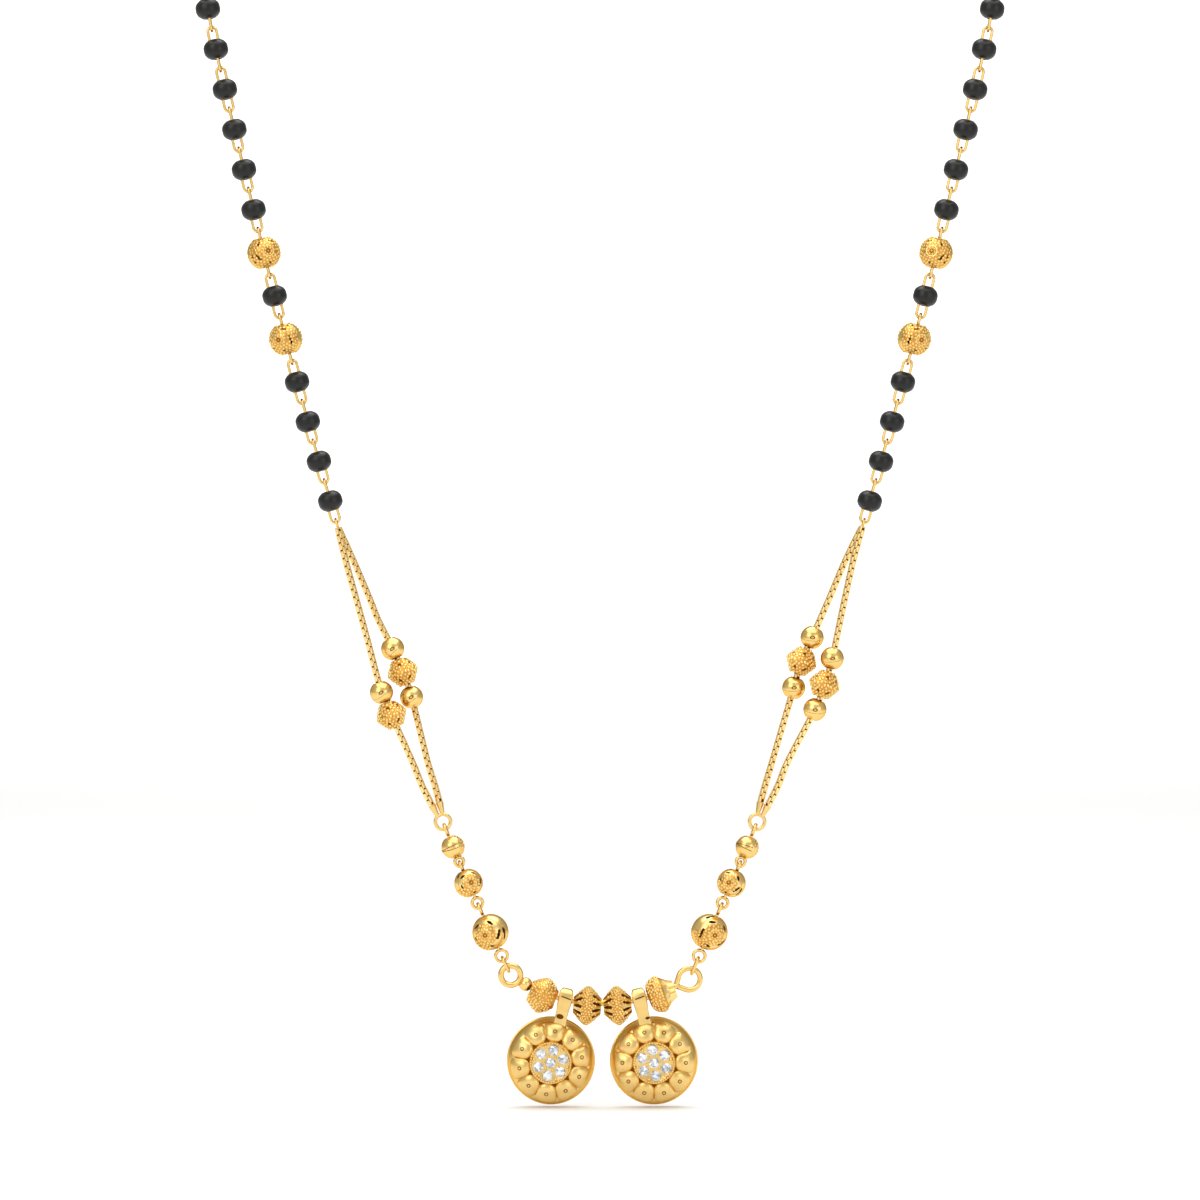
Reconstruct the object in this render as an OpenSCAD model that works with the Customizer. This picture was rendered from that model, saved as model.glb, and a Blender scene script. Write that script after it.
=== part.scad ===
// Mangalsutra: a gold and black bead necklace with two cup-shaped vati drops on a curved centre bar.
// Millimetres, +Z up. The clasp rests on the nape at the origin and the drops hang in front, towards -Y.

/* [Black bead string] */
// Diameter of a black bead
bead_d = 3.06; // [2.9:0.02:3.2]
// Length of a black bead along its hole
bead_len = 2.5; // [2.3:0.05:2.6]
// Radius that rounds the ends of a black bead
bead_round = 1; // [0.4:0.05:1.1]
// Length of string that one black bead and its eyes take
bead_pitch = 5.15; // [5.05:0.05:5.4]
// Diameter of a pierced gold ball in the string
jali_ball_d = 4.1; // [3.8:0.05:4.3]
// Length of string that one pierced gold ball and its eyes take
jali_ball_pitch = 5.95; // [5.8:0.05:6.3]
// Wire diameter of the eye pins through beads and balls
pin_wire_d = 0.36; // [0.3:0.01:0.4]
// Width of an eye over its wire
eye_w = 1.44; // [1.36:0.02:1.5]
// Depth that an eye's closed end sits inside its bead
eye_sink = 0.45; // [0.2:0.05:0.6]

/* [Centre bar] */
// Radius of the arc that the middles of the bar's beads follow
bar_r = 21; // [20:0.5:23]
// Wire diameter of the centre bar
bar_wire_d = 0.76; // [0.7:0.02:0.84]
// Distance that a loose bead hangs below the middle of the bar's wire
bead_sag = 0.38; // [0.3:0.02:0.42]
// Running gap between neighbours on the bar
bar_gap = 0.25; // [0.2:0.05:0.4]
// Length of a pierced bead
inner_bead_len = 3.44; // [3.2:0.04:3.6]
// Diameter of a pierced bead over its belly
inner_bead_d = 4.9; // [4.6:0.1:5.2]
// Length of the left outer bead
outer_bead_len = 3.36; // [3.2:0.04:3.6]
// Diameter of the outer beads over their bellies
outer_bead_d = 4.73; // [4.5:0.05:5]
// Length of the right outer bead's fluted neck, beyond its belly
neck_len = 2.05; // [1.9:0.05:2.3]
// Diameter at the neck's end
neck_d = 1.8; // [1.7:0.05:1.9]
// Diameter of the ball soldered to the left end of the bar
end_ball_d = 1.72; // [1.6:0.02:1.8]
// Outside diameter of the round ring at the left end
end_ring_d = 3.2; // [3:0.1:3.5]
// Outside diameter of the round part of the drop-shaped loop at the right end
end_loop_d = 3.4; // [3.2:0.1:3.6]

/* [Vati cups] */
// Diameter of a vati over its rim
vati_d = 11.1; // [10.6:0.1:11.6]
// Depth of a vati from its rim to its front plate
vati_depth = 4.2; // [3.8:0.1:4.6]
// Thickness of the cup's sheet
vati_wall = 0.4; // [0.3:0.05:0.55]
// Distance from the bar's wire to the middle of a vati
vati_drop = 8.08; // [7.9:0.05:8.5]
// Diameter of the round plate that holds the stones
plate_d = 5.1; // [5:0.1:5.4]
// Number of petals round the plate
petal_count = 10; // [8:1:12]
// Turn of the petals from the bail, anticlockwise as seen from the front
petal_turn = 5; // [0:1:10]
// Diameter of the ball that a petal's swell is part of
petal_ball_d = 3.8; // [3.7:0.05:3.9]
// Width of the strap bail along the wire
bail_w = 1.8; // [1.6:0.1:2]
// Thickness of the strap bail
bail_wall = 0.55; // [0.4:0.05:0.65]
// Diameter of a white stone
stone_d = 1.36; // [1.2:0.04:1.44]
// Distance from the middle stone to the middles of the six round it
stone_ring_r = 1.61; // [1.58:0.01:1.66]

/* [Side drops] */
// Diameter of the large pierced ball
large_ball_d = 4.55; // [4.3:0.05:4.8]
// Diameter of the medium pierced ball
medium_ball_d = 3.58; // [3.4:0.02:3.8]
// Diameter of the small engraved ball
small_ball_d = 2.88; // [2.7:0.02:3]
// Wire diameter of the eye pins through the three balls
ball_wire_d = 0.42; // [0.38:0.01:0.44]
// Wire diameter of the oval link that hangs the bar
bar_link_wire_d = 0.4; // [0.36:0.01:0.44]
// Width of the oval link over its wire
bar_link_w = 1.84; // [1.8:0.02:2]
// Outside diameter of the ring that gathers two strands
strand_ring_d = 2.34; // [2.2:0.02:2.5]
// Wire diameter of that ring
strand_ring_wire_d = 0.44; // [0.4:0.01:0.48]

/* [Strands] */
// Thickness of a box chain
chain_d = 0.94; // [0.86:0.02:1]
// Length of the cap soldered on the end of each chain
cap_len = 1.5; // [1.2:0.1:1.8]
// Diameter of a plain bead
plain_bead_d = 2.92; // [2.8:0.02:3]
// Diameter of a granulated bead
grain_bead_d = 3.8; // [3.6:0.05:3.9]
// Length of a granulated bead
grain_bead_len = 3.1; // [3:0.02:3.16]
// Outside diameter of the small ring that joins two chains to the last eye
joint_ring_d = 1.34; // [1.3:0.02:1.5]

/* [Hidden] */
$fn = 48;
front_y = -91;
bar_centre = [0.3, front_y, -145.78];
left = -1;
right = 1;
gold = [0.89, 0.70, 0.31];
black = [0.10, 0.09, 0.09];
white = [0.93, 0.95, 0.97];

// Clearances: between linked wires, round a wire or chain in a hole, and between a ball and its eye
link_gap = 0.12;
bore_gap = 0.2;
ball_seat = 0.05;
// Depth that the two short eyes between the medium and small balls sit inside the balls' mouths
short_eye_sink = 0.22;

// The black bead string runs up the chest and round the neck to the clasp: right side, mirrored for the left
string_route = [
    [33.0, -91, -106.1], [36.5, -91, -93.8], [40.7, -91, -77.9], [44.5, -91, -62.2], [48.0, -91, -47.3],
    [50.4, -90.4, -35.0], [52.8, -86.5, -25.5], [55.4, -78, -19.0], [57.6, -64, -14.5], [58.5, -48, -11.0],
    [55.5, -30, -7.5], [47.0, -14.5, -4.5], [32.0, -4.5, -2.0], [16.0, -0.8, -0.6], [0, 0, 0]
];
// Units of the string that hold a pierced gold ball, counted from the bottom
jali_units = [4, 6];
// Lower eyes that lie flat to the front, from the bottom; the eye linked to each stands edge-on
flat_lower_eyes = [true, true, true, true, false, true, false, true, true, true, true, false, false];

// Resting places of the three balls and the strand ring, in the front plane: [across, up]
large_ball_at = [13.69, -157.5];
medium_ball_at = [16.43, -151.38];
small_ball_at = [18.38, -146.88];
strand_ring_at = [19.63, -143.73];

// Chain routes from the joint ring to the cap on the strand ring: [across, depth from the front plane, up]
outer_route_left = [
    [-31.78, -0.6, -111], [-30.4, -0.7, -116], [-29.03, -0.7, -121], [-27.28, -0.7, -127.54],
    [-26.06, -0.7, -130.36], [-23.53, -0.5, -136], [-22.22, -0.5, -139.2]
];
inner_route_left = [
    [-30.88, 0.6, -111], [-28.75, 0.7, -116], [-27.75, 0.7, -118.5], [-25.94, 0.7, -122.09],
    [-24.69, 0.7, -125], [-23.58, 0.7, -128.16], [-21.63, 0.5, -136], [-20.66, 0.5, -139.2]
];
outer_route_right = [
    [31.65, -0.6, -111], [30.53, -0.7, -116], [28.99, -0.7, -123.29], [28.03, -0.7, -126.56],
    [26.83, -0.7, -129.68], [23.53, -0.5, -136], [22.22, -0.5, -139.2]
];
inner_route_right = [
    [30.73, 0.6, -111], [28.6, 0.7, -116], [26.54, 0.7, -120.69], [25.21, 0.7, -123.66],
    [24.24, 0.7, -126.98], [21.6, 0.5, -136], [20.66, 0.5, -139.2]
];
// Angles from the top of the strand ring at which the outer and inner caps are soldered
outer_cap_angle = 44;
inner_cap_angle = 2;
chain_sides = 8;
chain_steps = 3;
route_steps = 14;

// Vectors, curves and frames
function unit(v) = v / norm(v);
function polar(centre, r, a) = centre + r * [sin(a), 0, -cos(a)];
function in_front(p) = [p[0], front_y, p[1]];
function mirrored(p, side) = [side * p[0], p[1], p[2]];

// A smooth curve through chosen points, as a list of close points
function spline(a, b, c, d, t) =
    0.5 * (2 * b + (c - a) * t + (2 * a - 5 * b + 4 * c - d) * t * t + (3 * b - a - 3 * c + d) * t * t * t);
function smooth(points, steps) = concat(
    [for (i = [0:len(points) - 2]) for (k = [0:steps - 1]) let (after = min(i + 2, len(points) - 1))
        spline(points[max(i - 1, 0)], points[i], points[i + 1], points[after], k / steps)],
    [points[len(points) - 1]]
);
function length_of(path, i = 1) = i == len(path) ? 0 : norm(path[i] - path[i - 1]) + length_of(path, i + 1);

// The point on a path that lies a straight distance away from p, searched from point i on
function first_beyond(path, i, p, distance) =
    norm(path[i] - p) >= distance ? i : first_beyond(path, i + 1, p, distance);
function point_at(a, b, p, distance) =
    let (along = b - a, from = a - p)
    let (qa = along * along, qb = 2 * (along * from), qc = from * from - distance * distance)
    a + along * (sqrt(qb * qb - 4 * qa * qc) - qb) / (2 * qa);

// Directions turned into steady frames: each normal is carried on from the last one
function carried(normal, directions, k = 0) = k == len(directions) ? [] :
    let (next = unit(normal - (normal * directions[k]) * directions[k]))
    concat([next], carried(next, directions, k + 1));

// Stands its children at p with their Z along a direction and their Y along a normal
module stand(p, direction, normal = [0, 1, 0]) {
    side = cross(normal, direction);
    multmatrix([
        [side[0], normal[0], direction[0], p[0]],
        [side[1], normal[1], direction[1], p[1]],
        [side[2], normal[2], direction[2], p[2]]
    ]) children();
}

// Black bead string: units of one bead or ball, marched up the route
string_path = smooth(string_route, route_steps);
clasp_room = 3.4;
jali_room = len(jali_units) * (jali_ball_pitch - bead_pitch);
unit_count = floor((length_of(string_path) - clasp_room - jali_room) / bead_pitch);
function is_jali(k) = len(search(k, jali_units)) > 0;
function unit_len(k) = is_jali(k) ? jali_ball_pitch : bead_pitch;
function march(i, p, k = 0) = k == unit_count ? [p] :
    let (next_i = first_beyond(string_path, i, p, unit_len(k)))
    let (next_p = point_at(string_path[next_i - 1], string_path[next_i], p, unit_len(k)))
    concat([p], march(next_i, next_p, k + 1));
joints = march(1, string_path[0]);
directions = [for (k = [0:unit_count - 1]) unit(joints[k + 1] - joints[k])];
normals = carried([0, 1, 0], directions);
function lower_is_flat(k) = k < len(flat_lower_eyes) ? flat_lower_eyes[k] : k % 2 == 0;
// Turn of a unit's lower and upper eye about the string: 0 lies flat to the front
function lower_turn(k) = lower_is_flat(k) ? 0 : 90;
function upper_turn(k) = lower_is_flat(k + 1) ? 90 : 0;

pin_r = pin_wire_d / 2;
eye_half = eye_w / 2 - pin_r;
eye_reach = pin_r + link_gap / 2;
eye_room = 0.1;
bead_bore_r = eye_w / 2 + eye_room;

// A wire loop with straight sides in the XZ plane, between the middles of its round ends
module oval_loop(low, high, half, wire_r) {
    for (end = [[high, 90], [low, -90]])
        translate([0, 0, end[0]]) rotate([end[1], 0, 0])
            rotate_extrude(angle = 180) translate([half, 0]) circle(r = wire_r);
    for (x = [-half, half])
        translate([x, 0, low]) cylinder(h = high - low, r = wire_r);
}

// One eye pin of the string, standing on its middle: the body is the bead or ball that it passes through
module string_pin(pitch, body_len, low_turn, high_turn) {
    apex = pitch / 2 + eye_reach - eye_half;
    root = body_len / 2 - eye_sink + eye_half;
    rotate([0, 0, high_turn]) oval_loop(root, apex, eye_half, pin_r);
    rotate([0, 0, low_turn]) mirror([0, 0, 1]) oval_loop(root, apex, eye_half, pin_r);
    translate([0, 0, eye_half - root]) cylinder(h = 2 * (root - eye_half), r = pin_r);
}

// Half outline of a barrel with rounded ends, from its hole outwards: [radius, height]
function barrel_outline(d, length, rounding, bore_r, steps = 5) =
    let (x = d / 2 - rounding, z = length / 2 - rounding)
    concat(
        [[bore_r, -length / 2]],
        [for (k = [0:steps]) let (a = 90 * k / steps) [x + rounding * sin(a), -z - rounding * cos(a)]],
        [for (k = [0:steps]) let (a = 90 * k / steps) [x + rounding * cos(a), z + rounding * sin(a)]],
        [[bore_r, length / 2]]
    );
// The rounding stops short of the hole
bead_flat = 0.02;
bead_corner = min(bead_round, bead_d / 2 - bead_bore_r - bead_flat);
bead_outline = barrel_outline(bead_d, bead_len, bead_corner, bead_bore_r);

module at_unit(k, side) {
    middle = (joints[k] + joints[k + 1]) / 2;
    if (side == left) mirror([1, 0, 0]) stand(middle, directions[k], normals[k]) children();
    else stand(middle, directions[k], normals[k]) children();
}
module black_beads(side) {
    color(black)
        for (k = [0:unit_count - 1])
            if (!is_jali(k))
                at_unit(k, side) rotate_extrude() polygon(bead_outline);
}
module bead_pins(side) {
    color(gold)
        for (k = [0:unit_count - 1])
            at_unit(k, side)
                string_pin(unit_len(k), is_jali(k) ? jali_ball_d : bead_len, lower_turn(k), upper_turn(k));
}
module jali_balls(side) {
    color(gold)
        for (k = jali_units)
            at_unit(k, side) pierced_ball(jali_ball_d, bead_bore_r);
}

// Leaf outline of a pierced opening: shares of its length and half width, from tip to tip
leaf_table = [[0, 0.15], [0.3, 0.75], [0.62, 1], [0.85, 0.8], [1, 0.3]];
module leaf(length, half_w) {
    polygon(concat(
        [for (row = leaf_table) [row[1] * half_w, (row[0] - 0.5) * length]],
        [for (k = [len(leaf_table) - 1:-1:0]) [-leaf_table[k][1] * half_w, (leaf_table[k][0] - 0.5) * length]]
    ));
}
// Cuts a leaf-shaped opening through a wall on the -Y side, between two distances from the middle
module leaf_cut(length, half_w, near, far) {
    rotate([90, 0, 0]) translate([0, 0, near]) linear_extrude(height = far - near) leaf(length, half_w);
}

ball_wall = 0.3;
ball_cuts = 4;
ball_cut_tilt = 30;
module pierced_ball(d, bore_r) {
    difference() {
        sphere(d = d);
        sphere(d = d - 2 * ball_wall);
        translate([0, 0, -d]) cylinder(h = 2 * d, r = bore_r);
        for (k = [0:ball_cuts - 1]) {
            for (half = [[0.5, ball_cut_tilt], [0, -ball_cut_tilt]])
                rotate([0, 0, 360 * (k + half[0]) / ball_cuts]) rotate([half[1], 0, 0])
                    leaf_cut(0.36 * d, 0.07 * d, d / 4, d);
        }
    }
}

// Centre bar: pieces follow each other along the arc, measured from its lowest point
bar_wire_r = bar_wire_d / 2;
wire_arc_r = bar_r - bead_sag;
bar_bore_r = bar_wire_r + bead_sag + bore_gap;
neck_sag = 0.12;
neck_bore_r = bar_wire_r + neck_sag + bore_gap;
neck_belly_in = 1.45;
middle_room = 0.1;
middle_gap = bar_gap + middle_room;
inner_at = middle_gap / 2 + inner_bead_len / 2;
bail_at = inner_at + inner_bead_len / 2 + bar_gap + bail_w / 2;
outer_from = bail_at + bail_w / 2 + bar_gap;
end_ball_at = outer_from + outer_bead_len + 0.52 * end_ball_d;
end_ring_sink = 0.25;
end_ring_at = end_ball_at + end_ball_d / 2 + end_ring_d / 2 - end_ring_sink;
neck_belly_at = outer_from + neck_belly_in;
loop_wire_thinned = 0.04;
loop_wire_r = bar_wire_r - loop_wire_thinned;
loop_point_at = neck_belly_at + neck_len + loop_wire_r + link_gap;
function bar_angle(s) = s / bar_r * 180 / PI;

end_ring_r = end_ring_d / 2 - bar_wire_r;
end_ring_middle = polar(bar_centre, wire_arc_r, -bar_angle(end_ring_at));
end_loop_r = end_loop_d / 2 - loop_wire_r;
end_loop_point = polar(bar_centre, wire_arc_r, bar_angle(loop_point_at));
end_loop_reach = 1.25 * end_loop_r;
loop_tip_r = 0.48;
loop_slope = bar_angle(loop_point_at);
end_loop_middle = end_loop_point + end_loop_reach * [cos(loop_slope), 0, sin(loop_slope)];

// Stands its children on the bar, with their Z along the wire to the right and their Y to the back
module on_bar(s, r) {
    a = bar_angle(s);
    stand(polar(bar_centre, r, a), [cos(a), 0, sin(a)]) children();
}
module centre_wire() {
    color(gold) {
        translate(bar_centre) rotate([90, 0, 0])
            rotate([0, 0, -90 - bar_angle(end_ball_at)])
                rotate_extrude(angle = bar_angle(end_ball_at) + loop_slope)
                    translate([wire_arc_r, 0]) circle(r = bar_wire_r);
        on_bar(-end_ball_at, wire_arc_r) sphere(d = end_ball_d);
        translate(end_ring_middle) rotate([90, 0, 0])
            rotate_extrude() translate([end_ring_r, 0]) circle(r = bar_wire_r);
        drop_loop();
    }
}
// Drop-shaped loop: most of a ring, a tight bend round its tip at the bar's end, and the two legs between
module drop_loop() {
    apart = end_loop_reach - loop_tip_r;
    lean = asin((end_loop_r - loop_tip_r) / apart);
    stand(end_loop_middle, [cos(loop_slope), 0, sin(loop_slope)]) rotate([90, 0, 0]) {
        loop_arc(end_loop_r, -lean, 180 + 2 * lean);
        translate([0, -apart, 0]) loop_arc(loop_tip_r, 180 + lean, 180 - 2 * lean);
        for (x = [0, 1])
            mirror([x, 0, 0]) translate([loop_tip_r * cos(lean), -apart - loop_tip_r * sin(lean), 0])
                rotate([0, 0, -lean]) rotate([-90, 0, 0]) cylinder(h = apart * cos(lean), r = loop_wire_r);
    }
}
module loop_arc(r, from, turn) {
    rotate([0, 0, from]) rotate_extrude(angle = turn) translate([r, 0]) circle(r = loop_wire_r);
}

// Half outline of a double cone; a bend under 1 swells its sides and over 1 hollows them: [radius, height]
function cone_side(end_r, belly_r, length, bend, steps) =
    [for (k = [0:steps]) [end_r + (belly_r - end_r) * (1 - pow(1 - k / steps, bend)), length * k / steps]];
function double_cone(low_r, belly_r, high_r, low_len, high_len, bend, steps = 6) =
    let (low = cone_side(low_r, belly_r, low_len, 1 / bend, steps))
    let (high = cone_side(high_r, belly_r, high_len, 1 / bend, steps))
    concat(
        [for (p = low) [p[0], p[1] - low_len]],
        [for (k = [steps - 1:-1:0]) [high[k][0], high_len - high[k][1]]]
    );
module drilled(outline, bore_r) {
    top = outline[len(outline) - 1][1];
    rotate_extrude() polygon(concat([[bore_r, outline[0][1]]], outline, [[bore_r, top]]));
}

// Pierced bead: a hollow double cone with two rings of leaf-shaped openings
inner_end_r = 1.14;
inner_wall = 0.3;
inner_cuts = 10;
module bead_inner(side) {
    half = inner_bead_len / 2;
    belly_r = inner_bead_d / 2;
    color(gold)
        on_bar(side * inner_at, bar_r) difference() {
            drilled(double_cone(inner_end_r, belly_r, inner_end_r, half, half, 0.86), bar_bore_r);
            rotate_extrude() polygon(concat(
                [[bar_bore_r + 0.1, -half * 0.86]],
                [for (p = double_cone(inner_end_r, belly_r, inner_end_r, half, half, 0.86))
                    [max(p[0] - inner_wall, bar_bore_r + 0.1), p[1] * 0.86]],
                [[bar_bore_r + 0.1, half * 0.86]]
            ));
            for (end = [-1, 1]) for (k = [0:inner_cuts - 1])
                rotate([0, 0, 360 * (k + (end + 1) / 4) / inner_cuts])
                    translate([0, 0, end * half * 0.56]) mirror([0, 0, (end + 1) / 2])
                        leaf_cut(half * 0.56, belly_r * 0.115, belly_r * 0.45, belly_r * 1.2);
        }
}
// Granulated outer beads: the left one is even, the right one runs out into a fluted neck
module bead_outer(side) {
    half = outer_bead_len / 2;
    belly_r = outer_bead_d / 2;
    color(gold)
        if (side == left)
            on_bar(-outer_from - half, bar_r)
                drilled(double_cone(1.4, belly_r, 1.16, half, half, 1.2), bar_bore_r);
        else
            on_bar(neck_belly_at, wire_arc_r + neck_sag)
                drilled(double_cone(1.1, belly_r, neck_d / 2, neck_belly_in, neck_len, 1.3), neck_bore_r);
}

// Vati: a cup hung by a strap bail, drawn hanging from the wire's middle at the origin, front towards -Y
bail_room = 0.16;
bail_bore_r = bar_wire_r + bail_room;
bail_r = bail_bore_r + bail_wall;
bail_slot = 0.9;
foot_depth = 1.2;
foot_above_middle = 4.3;
foot_len = vati_drop - foot_above_middle;
rim_lip = 0.15;
rim_h = 0.3;
cup_r = vati_d / 2 - rim_lip;
plate_r = plate_d / 2;
plate_step = 0.3;
// The cup falls away from the plate to a shoulder, and then turns down to the rim
shoulder_in = 0.4;
shoulder_drop = 1.34;
shoulder_r = cup_r - shoulder_in;
shoulder_h = vati_depth - shoulder_drop;
rim_depth_back = 2.5;
petal_ring_in = 0.06;
petal_ring_r = (plate_r + shoulder_r) / 2 - petal_ring_in;

module vati(side) {
    on_bar(side * bail_at, wire_arc_r) rotate([0, -90, 0]) vati_hanging(side);
}
// Outline of the cup's side from the shoulder down to the rim, drawn in by a wall: [radius, height]
function cup_side(wall, steps = 3) = [for (k = [0:steps]) let (a = 90 * k / steps)
    [shoulder_r - wall + (cup_r - shoulder_r) * sin(a), rim_h + (shoulder_h - wall - rim_h) * cos(a)]];
module cup_outside() {
    rotate_extrude() polygon(concat(
        [[0, 0], [0, vati_depth - plate_step], [plate_r, vati_depth - plate_step]],
        cup_side(0), [[vati_d / 2, rim_h], [vati_d / 2, 0]]
    ));
    translate([0, 0, shoulder_h - 1]) cylinder(h = vati_depth - shoulder_h + 1, r = plate_r);
}
module cup_inside() {
    roof = vati_depth - plate_step - 1.5 * vati_wall;
    rotate_extrude() polygon(concat(
        [[0, -1], [0, roof], [plate_r - vati_wall / 2, roof]], cup_side(vati_wall), [[cup_r - vati_wall, -1]]
    ));
}
module vati_hanging(side) {
    color(gold) difference() {
        union() {
            in_cup() {
                cup_outside();
                petals();
            }
            bail();
        }
        in_cup() cup_inside();
        bail_opening();
        foot_pit(side);
        in_cup() stone_places(side) translate([0, 0, vati_depth - stone_seat])
            cylinder(h = stone_seat + 1, r = stone_d / 2 + stone_room);
    }
}
// The cup's own frame: Z out of its front, from the plane of its rim
module in_cup() {
    translate([0, rim_depth_back, -vati_drop]) rotate([90, 0, 0]) children();
}
// Each petal is the top of a ball that lies in the cup's sloping wall, just overlapping its neighbours
petal_ball_r = petal_ball_d / 2;
petal_half = 1.05 * petal_ring_r * sin(180 / petal_count);
petal_rise = petal_ball_r - sqrt(petal_ball_r * petal_ball_r - petal_half * petal_half);
cup_slope = atan((vati_depth - plate_step - shoulder_h) / (shoulder_r - plate_r));
module petals() {
    seat = shoulder_h + (shoulder_r - petal_ring_r) * tan(cup_slope);
    for (k = [0:petal_count - 1])
        rotate([0, 0, 90 + petal_turn + 360 * k / petal_count])
            translate([petal_ring_r, 0, seat]) rotate([0, cup_slope, 0])
                translate([0, 0, petal_rise - petal_ball_r]) sphere(r = petal_ball_r);
}
// A strap bent over the wire, its two ends pinched together into a flat foot that stands on the cup
module bail() {
    for (z = [0, -bail_slot])
        translate([-bail_w / 2, 0, z]) rotate([0, 90, 0]) cylinder(h = bail_w, r = bail_r);
    slab(bail_w, 0.97 * bail_r, bail_slot);
    slab(bail_w, foot_depth / 2, foot_len);
}
module bail_opening() {
    for (z = [0, -bail_slot])
        translate([-bail_w, 0, z]) rotate([0, 90, 0]) cylinder(h = 2 * bail_w, r = bail_bore_r);
    slab(2 * bail_w, 0.97 * bail_bore_r, bail_slot);
}
// A block that hangs down from the wire's middle
module slab(w, half_depth, length) {
    translate([-w / 2, -half_depth, -length]) cube([w, 2 * half_depth, length]);
}
// The small oval pit in the front of the bail's foot
pit_depth = 0.35;
module foot_pit(side) {
    pit_r = side == left ? 0.31 : 0.18;
    at = side == left ? [-0.17, -2.25] : [0.45, -2.5];
    for (x = [-0.6, 0.6])
        translate([at[0] + x * pit_r, pit_depth - foot_depth / 2, at[1]]) rotate([90, 0, 0])
            cylinder(h = 1, r = pit_r);
}

// White stones: one in the middle and six round it, each with a table, eight crown and eight pavilion facets
stone_seat = 0.62;
stone_room = 0.05;
stone_show = 0.12;
stone_sides = 8;
module stone_places(side) {
    turn = side == left ? 0 : -6;
    children();
    for (k = [0:5])
        rotate([0, 0, 90 + turn + 60 * k]) translate([stone_ring_r, 0, 0]) children();
}
module stones(side) {
    color(white)
        on_bar(side * bail_at, wire_arc_r) rotate([0, -90, 0])
            in_cup() stone_places(side) translate([0, 0, vati_depth + stone_show]) stone();
}
// A round cut stone, its table at height 0
module stone() {
    girdle_r = stone_d / 2;
    table_r = girdle_r * 0.56;
    ring = [for (k = [0:stone_sides - 1]) 360 * k / stone_sides];
    last = stone_sides - 1;
    points = concat(
        [for (a = ring) [table_r * cos(a), table_r * sin(a), 0]],
        [for (a = ring) [girdle_r * cos(a), girdle_r * sin(a), -0.17 * stone_d]],
        [for (a = ring) [girdle_r * cos(a), girdle_r * sin(a), -0.2 * stone_d]],
        [[0, 0, -0.5 * stone_d]]
    );
    polyhedron(points, concat(
        [[for (k = [last:-1:0]) k]],
        [for (row = [0, stone_sides]) for (k = [0:last]) let (a = row + k, b = row + (k + 1) % stone_sides)
            [a, b, b + stone_sides, a + stone_sides]],
        [for (k = [0:last]) [2 * stone_sides + k, 2 * stone_sides + (k + 1) % stone_sides, 3 * stone_sides]]
    ));
}

// Side drops: three balls on eye pins between the bar and the strand ring
ball_wire_r = ball_wire_d / 2;
ball_bore_r = 0.6;
lowest_eye_d = 1.9;
function bar_end(side) = side == left ? end_ring_middle : end_loop_middle;
// Radius of the hole in the ring or loop at a bar's end
function bar_end_hole_r(side) = side == left ? end_ring_r - bar_wire_r : end_loop_r - loop_wire_r;
function place(at, side) = mirrored(in_front(at), side);
function eye_outer(gap, seat) = (gap + 4 * ball_wire_r + link_gap - 2 * seat) / 4;
function ball_gap(at_a, d_a, at_b, d_b) = norm(at_b - at_a) - d_a / 2 - d_b / 2;
large_medium_gap = ball_gap(large_ball_at, large_ball_d, medium_ball_at, medium_ball_d);
medium_small_gap = ball_gap(medium_ball_at, medium_ball_d, small_ball_at, small_ball_d);
long_eye = eye_outer(large_medium_gap, ball_seat);
short_eye = eye_outer(medium_small_gap, -short_eye_sink);
ring_bottom = norm(strand_ring_at - small_ball_at) - strand_ring_d / 2 + strand_ring_wire_d;
top_eye = (ring_bottom + 2 * ball_wire_r + link_gap - small_ball_d / 2 - ball_seat) / 2;

// One half of a ball's eye pin: a stem from the ball's middle, and a round eye towards the next piece
module eye_arm(from, towards, ball_d, outer_r, edge_on, seat = ball_seat) {
    stem = ball_d / 2 + seat;
    stand(from, unit(towards - from)) {
        cylinder(h = stem + ball_wire_r, r = ball_wire_r);
        translate([0, 0, stem + outer_r]) rotate(edge_on ? [0, 90, 0] : [90, 0, 0])
            rotate_extrude() translate([outer_r - ball_wire_r, 0]) circle(r = ball_wire_r);
    }
}
module pin_large(side) {
    at = place(large_ball_at, side);
    color(gold) {
        eye_arm(at, bar_end(side), large_ball_d, lowest_eye_d / 2, false);
        eye_arm(at, place(medium_ball_at, side), large_ball_d, long_eye, true);
        pin_bend(at);
    }
}
module pin_medium(side) {
    at = place(medium_ball_at, side);
    color(gold) {
        eye_arm(at, place(large_ball_at, side), medium_ball_d, long_eye, false);
        eye_arm(at, place(small_ball_at, side), medium_ball_d, short_eye, true, -short_eye_sink);
        pin_bend(at);
    }
}
module pin_small(side) {
    at = place(small_ball_at, side);
    color(gold) {
        eye_arm(at, place(medium_ball_at, side), small_ball_d, short_eye, false, -short_eye_sink);
        eye_arm(at, place(strand_ring_at, side), small_ball_d, top_eye, true);
        pin_bend(at);
    }
}
// The bend in the middle of a pin
module pin_bend(at) {
    translate(at) sphere(r = ball_wire_r * 1.1);
}
module ball(at, towards, side) {
    stand(place(at, side), unit(place(towards, side) - place(at, side))) children();
}
module ball_large(side) {
    color(gold) ball(large_ball_at, medium_ball_at, side) pierced_ball(large_ball_d, ball_bore_r);
}
module ball_medium(side) {
    color(gold) ball(medium_ball_at, small_ball_at, side) pierced_ball(medium_ball_d, ball_bore_r);
}
module ball_small(side) {
    color(gold) ball(small_ball_at, strand_ring_at, side) difference() {
        sphere(d = small_ball_d);
        translate([0, 0, -small_ball_d]) cylinder(h = 2 * small_ball_d, r = ball_bore_r);
    }
}
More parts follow.
